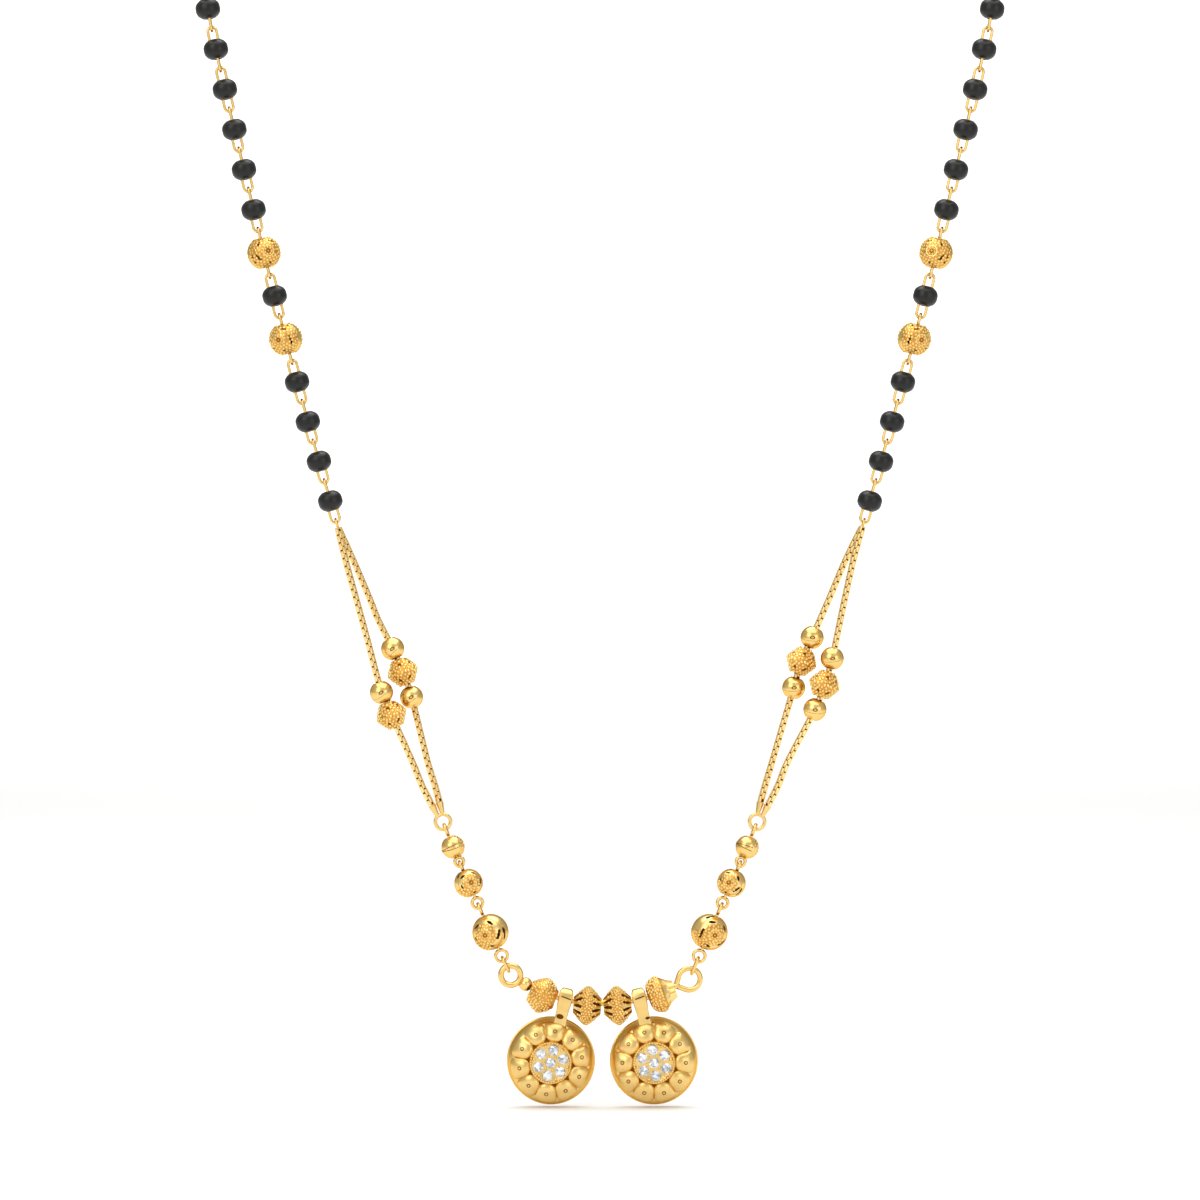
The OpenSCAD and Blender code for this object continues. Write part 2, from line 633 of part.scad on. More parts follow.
// Oval link between the bar's end and the large ball's lower eye
module bar_link(side) {
    wire_r = bar_link_wire_d / 2;
    from = bar_end(side);
    to = place(large_ball_at, side);
    eye_r = lowest_eye_d / 2 - ball_wire_r;
    eye_from = norm(to - from) - large_ball_d / 2 - ball_seat - lowest_eye_d / 2;
    low = bar_end_hole_r(side) - wire_r - link_gap;
    high = eye_from - eye_r + ball_wire_r + wire_r + link_gap;
    half = bar_link_w / 2 - wire_r;
    straight = high - low - 2 * half;
    color(gold)
        stand(from + (low + high) / 2 * unit(to - from), unit(to - from)) rotate([0, 0, 90])
            oval_loop(-straight / 2, straight / 2, half, wire_r);
}

// Strand ring with the two chain caps soldered on top
strand_ring_wire_r = strand_ring_wire_d / 2;
strand_ring_r = strand_ring_d / 2 - strand_ring_wire_r;
chain_r = chain_d / 2;
function chosen(side, outer) = side == left ? (outer ? outer_route_left : inner_route_left)
    : (outer ? outer_route_right : inner_route_right);
function to_front(p) = [p[0], front_y + p[1], p[2]];
function cap_foot(side, outer) = let (a = outer ? outer_cap_angle : inner_cap_angle)
    place(strand_ring_at, side) + strand_ring_r * [side * sin(a), 0, cos(a)];
function cap_direction(side, outer) = let (route = chosen(side, outer))
    unit(to_front(route[len(route) - 1]) - cap_foot(side, outer));
module strand_ring(side) {
    color(gold) {
        translate(place(strand_ring_at, side)) rotate([90, 0, 0])
            rotate_extrude() translate([strand_ring_r, 0]) circle(r = strand_ring_wire_r);
        for (outer = [true, false])
            chain_cap(cap_foot(side, outer), cap_direction(side, outer));
    }
}
module chain_cap(foot, direction) {
    flat = unit([0, 1, 0] - direction[1] * direction);
    stand(foot, direction, flat) cylinder(h = cap_len, r1 = strand_ring_wire_r, r2 = chain_r);
}

// Joint ring: hangs edge-on in the lowest eye of the string and carries both chains
joint_wire_r = 0.16;
joint_ring_r = joint_ring_d / 2 - joint_wire_r;
string_end = joints[0];
joint_ring_middle = string_end - (joint_ring_r - joint_wire_r - link_gap / 2) * directions[0];
chain_end_gap = 0.16;
chain_spread = 0.58;
module joint_ring(side) {
    color(gold)
        stand(mirrored(joint_ring_middle, side), mirrored(directions[0], side)) rotate([0, 90, 0])
            rotate_extrude() translate([joint_ring_r, 0]) circle(r = joint_wire_r);
}
function chain_top(side, outer) =
    mirrored(joint_ring_middle - (joint_ring_d / 2 + chain_end_gap) * directions[0], side)
    + [0, outer ? -chain_spread : chain_spread, 0];
function chain_path(side, outer) = smooth(concat(
    [chain_top(side, outer)],
    [for (p = chosen(side, outer)) to_front(p)],
    [cap_foot(side, outer) + (cap_len + chain_end_gap) * cap_direction(side, outer)]
), chain_steps);

// A round chain's outer form: one tube of flat sides swept along a path
module tube(path, r, sides) {
    last = len(path) - 1;
    ways = [for (k = [0:last]) unit(path[min(k + 1, last)] - path[max(k - 1, 0)])];
    up = carried([0, 1, 0], ways);
    points = [for (k = [0:last]) for (j = [0:sides - 1])
        path[k] + r * (cos(360 * j / sides) * cross(up[k], ways[k]) + sin(360 * j / sides) * up[k])];
    polyhedron(points, concat(
        [[for (j = [0:sides - 1]) j]],
        [for (k = [0:last - 1]) for (j = [0:sides - 1])
            let (a = k * sides + j, b = k * sides + (j + 1) % sides) [a, a + sides, b + sides, b]],
        [[for (j = [sides - 1:-1:0]) last * sides + j]]
    ));
}
module chain(side, outer) {
    color(gold) tube(chain_path(side, outer), chain_r, chain_sides);
}

// Beads on the chains, each centred on a point of its chain's route, counted from the top
bead_on_chain_r = chain_r + bore_gap;
module on_chain(side, outer, index) {
    route = chosen(side, outer);
    direction = unit(route[index - 1] - route[index + 1]);
    stand(to_front(route[index]), direction, unit([0, 1, 0] - direction[1] * direction)) children();
}
module strand_plain(side, outer, index) {
    color(gold) on_chain(side, outer, index) difference() {
        sphere(d = plain_bead_d);
        translate([0, 0, -plain_bead_d]) cylinder(h = 2 * plain_bead_d, r = bead_on_chain_r);
    }
}
grain_end_r = 0.98;
grain_cut_r = 0.17;
module strand_grain(side, outer, index) {
    half = grain_bead_len / 2;
    belly_r = grain_bead_d / 2;
    color(gold) on_chain(side, outer, index) difference() {
        drilled(double_cone(grain_end_r, belly_r, grain_end_r, half, half, 0.92), bead_on_chain_r);
        for (k = [0:3])
            rotate([0, 0, 90 * k + 25]) translate([0, 0, half * (k % 2 == 0 ? 0.66 : -0.66)])
                rotate([90, 0, 0]) cylinder(h = belly_r, r = grain_cut_r);
    }
}

// Clasp: one plain rod at the nape with a ring at each end, linked into the last eyes of the string
clasp_wire_r = 0.3;
clasp_ring_r = 0.85;
module clasp() {
    last = unit_count;
    way = directions[last - 1];
    middle = joints[last] + (clasp_ring_r - clasp_wire_r - link_gap / 2) * way;
    rod = [middle[0] - clasp_ring_r * way[0], middle[1], middle[2]];
    edge_on = upper_turn(last - 1) == 0;
    color(gold)
        for (side = [left, right])
            mirror([side == left ? 1 : 0, 0, 0]) {
                stand(middle, way, normals[last - 1]) rotate(edge_on ? [0, 90, 0] : [90, 0, 0])
                    rotate_extrude() translate([clasp_ring_r, 0]) circle(r = clasp_wire_r);
                clasp_arm(middle + clasp_ring_r * way);
            }
}
// From a ring to the nape, in one straight piece
module clasp_arm(from) {
    to = [0, from[1], from[2]];
    stand(to, [1, 0, 0]) cylinder(h = from[0], r = clasp_wire_r);
    translate(from) sphere(r = clasp_wire_r * 1.15);
}

centre_wire();
bead_inner(left);  // bead_inner_left
bead_inner(right);  // bead_inner_right
bead_outer(left);  // bead_outer_left
bead_outer(right);  // bead_outer_right
vati(left);  // vati_left
vati(right);  // vati_right
stones(left);  // stones_left
stones(right);  // stones_right
bar_link(left);  // bar_link_left
ball_large(left);  // ball_large_left
ball_medium(left);  // ball_medium_left
ball_small(left);  // ball_small_left
pin_large(left);  // pin_large_left
pin_medium(left);  // pin_medium_left
pin_small(left);  // pin_small_left
strand_ring(left);  // strand_ring_left
joint_ring(left);  // joint_ring_left
bar_link(right);  // bar_link_right
ball_large(right);  // ball_large_right
ball_medium(right);  // ball_medium_right
ball_small(right);  // ball_small_right
pin_large(right);  // pin_large_right
pin_medium(right);  // pin_medium_right
pin_small(right);  // pin_small_right
strand_ring(right);  // strand_ring_right
joint_ring(right);  // joint_ring_right
chain(left, true);  // chain_outer_left
chain(left, false);  // chain_inner_left
chain(right, true);  // chain_outer_right
chain(right, false);  // chain_inner_right
strand_plain(left, true, 3);  // outer_plain_left
strand_grain(left, true, 4);  // outer_grain_left
strand_plain(left, false, 3);  // inner_plain_upper_left
strand_grain(left, false, 4);  // inner_grain_left
strand_plain(left, false, 5);  // inner_plain_lower_left
strand_plain(right, true, 2);  // outer_plain_upper_right
strand_grain(right, true, 3);  // outer_grain_right
strand_plain(right, true, 4);  // outer_plain_lower_right
strand_plain(right, false, 2);  // inner_plain_upper_right
strand_grain(right, false, 3);  // inner_grain_right
strand_plain(right, false, 4);  // inner_plain_lower_right
jali_balls(left);  // jali_balls_left
jali_balls(right);  // jali_balls_right
black_beads(left);  // black_beads_left
black_beads(right);  // black_beads_right
bead_pins(left);  // bead_pins_left
bead_pins(right);  // bead_pins_right
clasp();
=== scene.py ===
import math
import bpy
from mathutils import Matrix, Vector


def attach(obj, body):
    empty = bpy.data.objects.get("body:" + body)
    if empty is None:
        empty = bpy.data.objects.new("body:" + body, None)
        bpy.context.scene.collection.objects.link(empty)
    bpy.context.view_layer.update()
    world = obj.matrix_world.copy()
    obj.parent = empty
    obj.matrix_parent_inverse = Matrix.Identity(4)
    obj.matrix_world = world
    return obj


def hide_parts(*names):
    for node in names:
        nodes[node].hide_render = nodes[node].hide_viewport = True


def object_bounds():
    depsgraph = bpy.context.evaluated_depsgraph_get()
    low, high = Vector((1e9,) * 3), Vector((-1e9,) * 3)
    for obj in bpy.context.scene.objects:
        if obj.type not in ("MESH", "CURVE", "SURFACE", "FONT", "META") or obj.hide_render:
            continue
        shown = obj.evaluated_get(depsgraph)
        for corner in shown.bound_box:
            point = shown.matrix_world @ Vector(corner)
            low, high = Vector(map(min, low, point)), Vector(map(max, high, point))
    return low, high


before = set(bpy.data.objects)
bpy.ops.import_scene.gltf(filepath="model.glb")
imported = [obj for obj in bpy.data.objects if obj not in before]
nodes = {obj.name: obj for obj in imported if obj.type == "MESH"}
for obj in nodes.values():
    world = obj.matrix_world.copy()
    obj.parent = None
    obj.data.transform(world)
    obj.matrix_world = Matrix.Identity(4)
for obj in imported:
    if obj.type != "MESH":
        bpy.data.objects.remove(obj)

cad_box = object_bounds()

# Sizes are in millimetres, as in the solids. Each piece is made on a bench at the origin, put in its place on
# the necklace, and turned to metres when it settles there.
MM = 0.001
SIDES = {"left": -1, "right": 1}

# The upright plane that the drops hang in, and the centre bar's arc in it: its middle, the radius that the
# middles of its beads follow and the radius of its wire
FRONT = -91.0
BAR_CENTRE = Vector((0.3, FRONT, -145.78))
BAR_R = 21.0
WIRE_ARC_R = 20.62


# The bench: choosing parts of a piece, finishing it and putting it in its place

def only(*pieces):
    """Leaves just these pieces selected, with the first one active."""
    bpy.ops.object.select_all(action="DESELECT")
    for piece in pieces:
        piece.select_set(True)
    bpy.context.view_layer.objects.active = pieces[0]


def bench(kind, name, **size):
    """Puts a primitive on the bench, to be shaped."""
    bpy.ops.object.select_all(action="DESELECT")
    getattr(bpy.ops.mesh, f"primitive_{kind}_add")(**size)
    piece = bpy.context.object
    piece.name = name
    return piece


def choose(piece, rule, kind="FACE"):
    """Opens a piece for editing, with the faces, edges or corners selected that the rule picks.

    The rule is given the place of each, and its normal or, for an edge, its direction and length.
    """
    only(piece)
    bpy.ops.object.mode_set(mode="EDIT")
    bpy.ops.mesh.select_mode(type=kind)
    bpy.ops.mesh.select_all(action="DESELECT")
    bpy.ops.object.mode_set(mode="OBJECT")
    mesh = piece.data
    if kind == "FACE":
        for face in mesh.polygons:
            face.select = rule(face.center, face.normal)
    elif kind == "EDGE":
        for edge in mesh.edges:
            a, b = (mesh.vertices[k].co for k in edge.vertices)
            edge.select = rule((a + b) / 2, b - a)
    else:
        for corner in mesh.vertices:
            corner.select = rule(corner.co, corner.normal)
    bpy.ops.object.mode_set(mode="EDIT")


def everywhere(place, normal):
    return True


def nowhere(place, normal):
    return False


def choose_open_edges(piece):
    """Opens a piece for editing with the edges selected that only one face has."""
    choose(piece, nowhere, "EDGE")
    bpy.ops.mesh.select_non_manifold()


def done():
    """Ends an edit that choose() opened."""
    bpy.ops.object.mode_set(mode="OBJECT")


def apply(piece, kind, **settings):
    """Adds a modifier with its settings and applies it."""
    only(piece)
    modifier = piece.modifiers.new(kind.lower(), kind)
    for key, value in settings.items():
        setattr(modifier, key, value)
    bpy.ops.object.modifier_apply(modifier=modifier.name)


def smooth(piece, angle=35):
    """Shades a piece smooth, apart from edges sharper than the angle."""
    only(piece)
    bpy.ops.object.shade_smooth_by_angle(angle=math.radians(angle))


def copy_of(piece, name):
    """Another of a piece, with a mesh of its own."""
    other = piece.copy()
    other.data = piece.data.copy()
    other.name = name
    bpy.context.scene.collection.objects.link(other)
    return other


def join(name, pieces):
    """Makes one piece of several."""
    only(*pieces)
    if len(pieces) > 1:
        bpy.ops.object.join()
    pieces[0].name = name
    return pieces[0]


def put(piece, place):
    """Moves a piece's mesh from where it stands on the bench to its place, still in millimetres."""
    piece.data.transform(place @ piece.matrix_basis)
    piece.matrix_basis = Matrix.Identity(4)
    if place.determinant() < 0:
        piece.data.flip_normals()
    return piece


def settle(piece, material, slot, body, *stands_for):
    """Turns a finished piece to metres, dresses it unless it already is, and lets it ride on a body."""
    put(piece, Matrix.Scale(MM, 4))
    if material:
        dress(piece, material)
    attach(piece, body)
    if stands_for:
        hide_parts(*stands_for)


# Corners nearer to each other than this are made one
MERGE_WITHIN = 0.0005


def turned(name, rings, sides, closed=False):
    """A skin turned on a lathe through rings of (radius, height), drawn up ring by ring."""
    radius, height = rings[0]
    piece = bench("circle", name, vertices=sides, radius=radius)
    choose(piece, everywhere, "VERT")
    bpy.ops.transform.translate(value=(0, 0, height))
    for next_radius, next_height in rings[1:] + (rings[:1] if closed else []):
        bpy.ops.mesh.extrude_region_move(TRANSFORM_OT_translate={"value": (0, 0, next_height - height)})
        scale = next_radius / radius
        bpy.ops.transform.resize(value=(scale, scale, 1), center_override=(0, 0, next_height))
        radius, height = next_radius, next_height
    bpy.ops.mesh.select_all(action="SELECT")
    bpy.ops.mesh.remove_doubles(threshold=MERGE_WITHIN)
    bpy.ops.mesh.normals_make_consistent(inside=False)
    done()
    return piece


def array_round(piece, count):
    """Repeats a piece evenly round the bench's axis."""
    bpy.ops.object.empty_add(location=(0, 0, 0))
    turn = bpy.context.object
    turn.rotation_euler.z = 2 * math.pi / count
    bpy.context.view_layer.update()
    apply(piece, "ARRAY", count=count, use_relative_offset=False, use_object_offset=True,
          offset_object=turn)
    bpy.data.objects.remove(turn)


def delete_faces(piece, rule):
    """Cuts away the faces that the rule picks."""
    choose(piece, rule)
    bpy.ops.mesh.delete(type="FACE")
    done()


def soften_holes(shell):
    """Smooths the edges of openings that have been cut face by face."""
    choose_open_edges(shell)
    bpy.ops.mesh.vertices_smooth(factor=0.5, repeat=4)
    done()


# Points tried in a square as wide as the spacing, so that no room is left for another grain
TRIES_PER_SPACING = 30


def grains_on(shell, spacing, grain_r, where):
    """Small balls soldered closely on the chosen faces of a shell, as a piece of their own."""
    grains = copy_of(shell, shell.name + "_grains")
    delete_faces(grains, lambda place, normal: not where(place, normal))
    tree = bpy.data.node_groups.new(grains.name, "GeometryNodeTree")
    tree.interface.new_socket("Skin", in_out="INPUT", socket_type="NodeSocketGeometry")
    tree.interface.new_socket("Grains", in_out="OUTPUT", socket_type="NodeSocketGeometry")
    skin = tree.nodes.new("NodeGroupInput")
    result = tree.nodes.new("NodeGroupOutput")
    points = tree.nodes.new("GeometryNodeDistributePointsOnFaces")
    points.distribute_method = "POISSON"
    points.inputs["Distance Min"].default_value = spacing
    points.inputs["Density Max"].default_value = TRIES_PER_SPACING / spacing ** 2
    ball = tree.nodes.new("GeometryNodeMeshUVSphere")
    ball.inputs["Segments"].default_value = 7
    ball.inputs["Rings"].default_value = 5
    ball.inputs["Radius"].default_value = grain_r
    on_points = tree.nodes.new("GeometryNodeInstanceOnPoints")
    real = tree.nodes.new("GeometryNodeRealizeInstances")
    for source, target in ((skin.outputs["Skin"], points.inputs["Mesh"]),
                           (points.outputs["Points"], on_points.inputs["Points"]),
                           (points.outputs["Rotation"], on_points.inputs["Rotation"]),
                           (ball.outputs["Mesh"], on_points.inputs["Instance"]),
                           (on_points.outputs["Instances"], real.inputs["Geometry"]),
                           (real.outputs["Geometry"], result.inputs["Grains"])):
        tree.links.new(source, target)
    apply(grains, "NODES", node_group=tree)
    return grains


# Colours and materials

def linear(hex_colour):
    """An sRGB hex colour as linear red, green, blue and alpha."""
    values = [int(hex_colour[i:i + 2], 16) / 255 for i in (1, 3, 5)]
    return [v / 12.92 if v <= 0.04045 else ((v + 0.055) / 1.055) ** 2.4 for v in values] + [1.0]


def add(material, kind, settings=None, links=None):
    """Adds a node: settings fill its properties and sockets, links join its sockets to other outputs."""
    made = material.node_tree.nodes.new("ShaderNode" + kind)
    for key, value in (settings or {}).items():
        if hasattr(made, key):
            setattr(made, key, value)
        else:
            made.inputs[key].default_value = value
    for key, source in (links or {}).items():
        material.node_tree.links.new(source, made.inputs[key])
    return made


def pattern_scale(size):
    """The scale, on Object coordinates in metres, of a pattern whose marks have this size in millimetres."""
    return 1000 / size


def new_material(name):
    material = bpy.data.materials.new(name)
    material.use_nodes = True
    material.node_tree.nodes.remove(material.node_tree.nodes["Principled BSDF"])
    return material


def finish_material(material, shader):
    surface = material.node_tree.nodes["Material Output"].inputs["Surface"]
    material.node_tree.links.new(shader.outputs[0], surface)
    return material


# Gold's patches are as wide as a bead. Its polishing marks, given with each finish, are finer on real gold
# and are drawn 0.2 to 0.5 mm long so that they show.
GOLD_PATCH = 2.5
GOLD_MARK_DEPTH = 0.02
GOLD_EDGE_TINT = "#EFC07A"


def gold(name, bright, deep, roughness, mark_size, bump):
    """22 carat gold: patches of slightly deeper colour, and fine marks that soften its gloss."""
    m = new_material(name)
    place = add(m, "TexCoord")
    patches = add(m, "TexNoise", {"Scale": pattern_scale(GOLD_PATCH), "Detail": 2.0},
                  {"Vector": place.outputs["Object"]})
    colour = add(m, "Mix", {"data_type": "RGBA"}, {"Factor": patches.outputs["Fac"]})
    colour.inputs["A"].default_value = linear(bright)
    colour.inputs["B"].default_value = linear(deep)
    marks = add(m, "TexNoise", {"Scale": pattern_scale(mark_size), "Detail": 3.0},
                {"Vector": place.outputs["Object"]})
    rough = add(m, "MapRange", {"To Min": roughness * 0.8, "To Max": roughness * 1.3},
                {"Value": marks.outputs["Fac"]})
    relief = add(m, "Bump", {"Strength": bump, "Distance": GOLD_MARK_DEPTH * MM},
                 {"Height": marks.outputs["Fac"]})
    shader = add(m, "BsdfPrincipled", {"Metallic": 1.0, "Specular Tint": linear(GOLD_EDGE_TINT)},
                 {"Base Color": colour.outputs["Result"], "Roughness": rough.outputs["Result"],
                  "Normal": relief.outputs["Normal"]})
    return finish_material(m, shader)


# The gloss of a pressed bead changes over less than half of its width
GLASS_CLOUD = 1.2


def black_glass():
    """Pressed black glass: nearly black, with a soft skin gloss that varies a little over each bead."""
    m = new_material("pressed_black_glass")
    place = add(m, "TexCoord")
    cloud = add(m, "TexNoise", {"Scale": pattern_scale(GLASS_CLOUD), "Detail": 2.0},
                {"Vector": place.outputs["Object"]})
    rough = add(m, "MapRange", {"To Min": 0.26, "To Max": 0.4}, {"Value": cloud.outputs["Fac"]})
    shader = add(m, "BsdfPrincipled", {"Base Color": linear("#0F0E0D"), "IOR": 1.42},
                 {"Roughness": rough.outputs["Result"]})
    return finish_material(m, shader)


# Painted glints as wide as a facet: a stone of 1.36 mm has four or five facets across
STONE_GLINT_PATCH = 0.3


def cut_stone():
    """White cut stones with painted reflections: each small patch is painted bright white or cool grey, as
    the glint of a facet.
    """
    m = new_material("white_stone_painted_facet_glints")
    place = add(m, "TexCoord")
    painted_glints = add(m, "TexVoronoi", {"Scale": pattern_scale(STONE_GLINT_PATCH)}, {"Vector": place.outputs["Object"]})
    light = add(m, "SeparateColor", {}, {"Color": painted_glints.outputs["Color"]})
    colour = add(m, "Mix", {"data_type": "RGBA"}, {"Factor": light.outputs["Red"]})
    colour.inputs["A"].default_value = linear("#76808F")
    colour.inputs["B"].default_value = linear("#FFFFFF")
    rough = add(m, "MapRange", {"To Min": 0.02, "To Max": 0.12}, {"Value": light.outputs["Green"]})
    shader = add(m, "BsdfPrincipled", {"IOR": 2.1},
                 {"Base Color": colour.outputs["Result"], "Roughness": rough.outputs["Result"]})
    return finish_material(m, shader)


# Drawn wire and turned balls, polished: clear highlights with soft edges
POLISHED = gold("polished_22_carat_gold", "#F0D18A", "#E8C070", 0.24, 0.5, 0.12)
# Soldered grains and cut edges: a rougher gold, painted paler as its lit copy, so that a pale painted glint
# sits on each one
PAINTED_LIT_GOLD = gold("pale_22_carat_gold_painted_lit", "#F3DA96", "#ECC87A", 0.28, 0.2, 0.2)
# The ground that grains stand on: painted half shade, a deeper and duller gold, so that the grains stand out
PAINTED_HALF_SHADE = gold("gold_in_painted_half_shade", "#E2AB54", "#C98F3C", 0.36, 0.3, 0.2)
# Engraved lines, pits and hollows: painted shade, a dark brown and matt gold
PAINTED_DEEP_SHADE = gold("gold_in_painted_deep_shade", "#8E5614", "#72420A", 0.6, 0.3, 0.1)
# Thin sheet pressed in a die: a satin gloss with broad, soft highlights
SHEET = gold("pressed_gold_sheet", "#ECCC87", "#E2BC6F", 0.29, 0.35, 0.2)
# Chain links with bright cut faces: the palest gold, with a glint of its own on each link
CHAIN = gold("bright_cut_22_carat_gold", "#FFE3A2", "#F6D288", 0.27, 0.3, 0.3)
BLACK = black_glass()
STONE = cut_stone()


def dress(piece, material):
    """Gives a piece one finish all over."""
    piece.data.materials.clear()
    piece.data.materials.append(material)


def dress_faces(piece, material, rule):
    """Gives only the faces that the rule picks another finish."""
    piece.data.materials.append(material)
    choose(piece, rule)
    piece.active_material_index = len(piece.data.materials) - 1
    bpy.ops.object.material_slot_assign()
    done()


# Wires, pins, rings, caps, plain balls, stones and the clasp are shown as their solids are
for name, node in nodes.items():
    if name.startswith("stones"):
        dress(node, STONE)
    elif name.startswith("black"):
        dress(node, BLACK)
    else:
        dress(node, POLISHED)


# Places on the necklace

def stand(place, direction, normal=(0, 1, 0)):
    """A place whose Z runs along a direction and whose Y runs along a normal."""
    direction = Vector(direction).normalized()
    normal = Vector(normal)
    frame_there = Matrix((normal.cross(direction), normal, direction)).transposed().to_4x4()
    frame_there.translation = Vector(place)
    return frame_there


def on_bar(along, radius):
    """A place on the centre bar, with Z along the wire to the right and Y to the back."""
    a = along / BAR_R
    direction = Vector((math.cos(a), 0, math.sin(a)))
    return stand(BAR_CENTRE + radius * Vector((math.sin(a), 0, -math.cos(a))), direction)


def curve_through(points, steps=14):
    """A smooth curve through chosen points, as a list of close points."""
    line = [Vector(p) for p in points]
    last = len(line) - 1
    close = []
    for i in range(last):
        a, b, c, d = line[max(i - 1, 0)], line[i], line[i + 1], line[min(i + 2, last)]
        for k in range(steps):
            t = k / steps
            close.append(0.5 * (2 * b + (c - a) * t + (2 * a - 5 * b + 4 * c - d) * t ** 2
                                + (3 * b - a - 3 * c + d) * t ** 3))
    return close + [line[-1]]


def carried(ways):
    """A steady normal for each direction, each carried on from the last one."""
    normal = Vector((0, 1, 0))
    normals = []
    for way in ways:
        normal = (normal - normal.dot(way) * way).normalized()
        normals.append(normal)
    return normals


def side_of(place, sign):
    """The same place on the left, if sign is -1."""
    return Matrix.Scale(-1, 4, (1, 0, 0)) @ place if sign < 0 else place


# The black bead string: how much of its length one bead or ball takes with its eyes, which of its units are
# balls, and its route on the right, from the joint ring up and round the neck to the clasp
BEAD_PITCH, BALL_PITCH = 5.15, 5.95
BALL_UNITS = (4, 6)
UNIT_COUNT = 40
STRING_ROUTE = [
    (33.0, -91, -106.1), (36.5, -91, -93.8), (40.7, -91, -77.9), (44.5, -91, -62.2), (48.0, -91, -47.3),
    (50.4, -90.4, -35.0), (52.8, -86.5, -25.5), (55.4, -78, -19.0), (57.6, -64, -14.5), (58.5, -48, -11.0),
    (55.5, -30, -7.5), (47.0, -14.5, -4.5), (32.0, -4.5, -2.0), (16.0, -0.8, -0.6), (0, 0, 0)]


def string_units():
    """The place of each unit of the right string: Z up the string and Y to the back at its start."""
    path = curve_through(STRING_ROUTE)
    joint, i = path[0], 1
    joints = [joint]
    for k in range(UNIT_COUNT):
        length = BALL_PITCH if k in BALL_UNITS else BEAD_PITCH
        while (path[i] - joint).length < length:
            i += 1
        along, start = path[i] - path[i - 1], path[i - 1] - joint
        qa, qb, qc = along.dot(along), 2 * along.dot(start), start.dot(start) - length ** 2
        joint = path[i - 1] + along * ((math.sqrt(qb * qb - 4 * qa * qc) - qb) / (2 * qa))
        joints.append(joint)
    ways = [(b - a).normalized() for a, b in zip(joints, joints[1:])]
    middles = [(a + b) / 2 for a, b in zip(joints, joints[1:])]
    return [stand(m, w, n) for m, w, n in zip(middles, ways, carried(ways))]


UNITS = string_units()


# Black glass beads

BEAD_R, BEAD_LEN, BEAD_BORE_R, BEAD_CORNER = 1.53, 2.5, 0.82, 1.035
# The ball that a bead's side swells towards, and how flat the bead is pressed along its hole
BEAD_SWELL_R = 1.55
BEAD_FLATTEN = 0.93


def black_bead():
    """A short round barrel with soft corners, a swollen side and a hole from end to end."""
    bead = bench("cylinder", "black_bead", vertices=32, radius=BEAD_R, depth=BEAD_LEN)
    choose(bead, lambda place, normal: abs(normal.z) > 0.9)
    bpy.ops.mesh.inset(thickness=BEAD_R - BEAD_BORE_R)
    bpy.ops.mesh.bridge_edge_loops()
    done()
    choose(bead, lambda place, way: abs(way.z) < 0.01 and place.xy.length > 0.9 * BEAD_R, "EDGE")
    bpy.ops.mesh.bevel(offset=BEAD_CORNER, segments=7, affect="EDGES")
    done()
    apply(bead, "CAST", factor=0.5, radius=BEAD_SWELL_R, size=BEAD_SWELL_R)
    choose(bead, everywhere)
    bpy.ops.transform.resize(value=(1, 1, BEAD_FLATTEN), center_override=(0, 0, 0))
    done()
    return bead


bead = black_bead()
for side, sign in SIDES.items():
    beads = [put(copy_of(bead, f"bead_{k}"), side_of(unit, sign))
             for k, unit in enumerate(UNITS) if k not in BALL_UNITS]
    beads = join(f"glass_beads_{side}", beads)
    smooth(beads)
    settle(beads, BLACK, "black_glass", "necklace", f"black_beads_{side}")
bpy.data.objects.remove(bead)


# Pierced gold balls: a thin round shell cut through with slits, with grains and a ringed rosette on it

def around_of(place):
    """Angle round the bench's axis, in degrees from +X."""
    return math.degrees(math.atan2(place.y, place.x))


def polar_of(place):
    """Angle from the ball's front or back, whichever is nearer."""
    return math.degrees(math.acos(min(1.0, abs(place.normalized().z))))


def shade_tube_inside(name, rings, bore_r):
    """The tube inside a hollow bead, which the wire runs through, dressed in painted shade for the dark
    inside.
    """
    low, high = rings[0][1], rings[-1][1]
    tube = turned(name, [(bore_r, low)] + rings + [(bore_r, high)], 20, closed=True)
    dress(tube, PAINTED_DEEP_SHADE)
    return tube


# Slits lie in five sectors round the front and five round the back, in degrees: the width of a sector, where
# its slits have their middle, and how far they reach to either side, which is more in every other sector
SECTOR = 72
SLIT_MIDDLE_FRONT, SLIT_MIDDLE_BACK = 31, 41
SLIT_SHORT, SLIT_LONGER_BY = 16, 7
# Rings of slits: polar angle, half width and lean in degrees, and the sectors that have a slit
SLIT_RINGS = ((45, 3.4, 0.22, (0, 1, 2, 3, 4)), (69, 3.0, -0.1, (0, 2, 3)))
# Grains on a ball: spacing, radius and how deep their middles sit. They lie between two polar angles and
# keep some degrees off the slits.
SEED_SPACING, SEED_R, SEED_SINK = 0.4, 0.25, 0.14
SEEDS_FROM, SEEDS_TO = 17, 84
SEEDS_OFF_SLITS = 2.5
# The shell's wall, and how far the tube inside is below the ball's surface
SHELL_WALL = 0.3
TUBE_DEPTH = 0.48
# The rosette: a ring, seven small petals inside it and an eye
ROSETTE_RING, ROSETTE_RING_WIRE = 0.66, 0.08
ROSETTE_EYE, ROSETTE_EYE_WIRE = 0.2, 0.06
ROSETTE_PETALS, PETAL_SPREAD, PETAL_SEED_R, PETAL_SINK = 7, 0.44, 0.14, 0.03
# An engraved circle runs round the front at this share of the radius
CIRCLE_SHARE, CIRCLE_WIRE = 0.84, 0.05


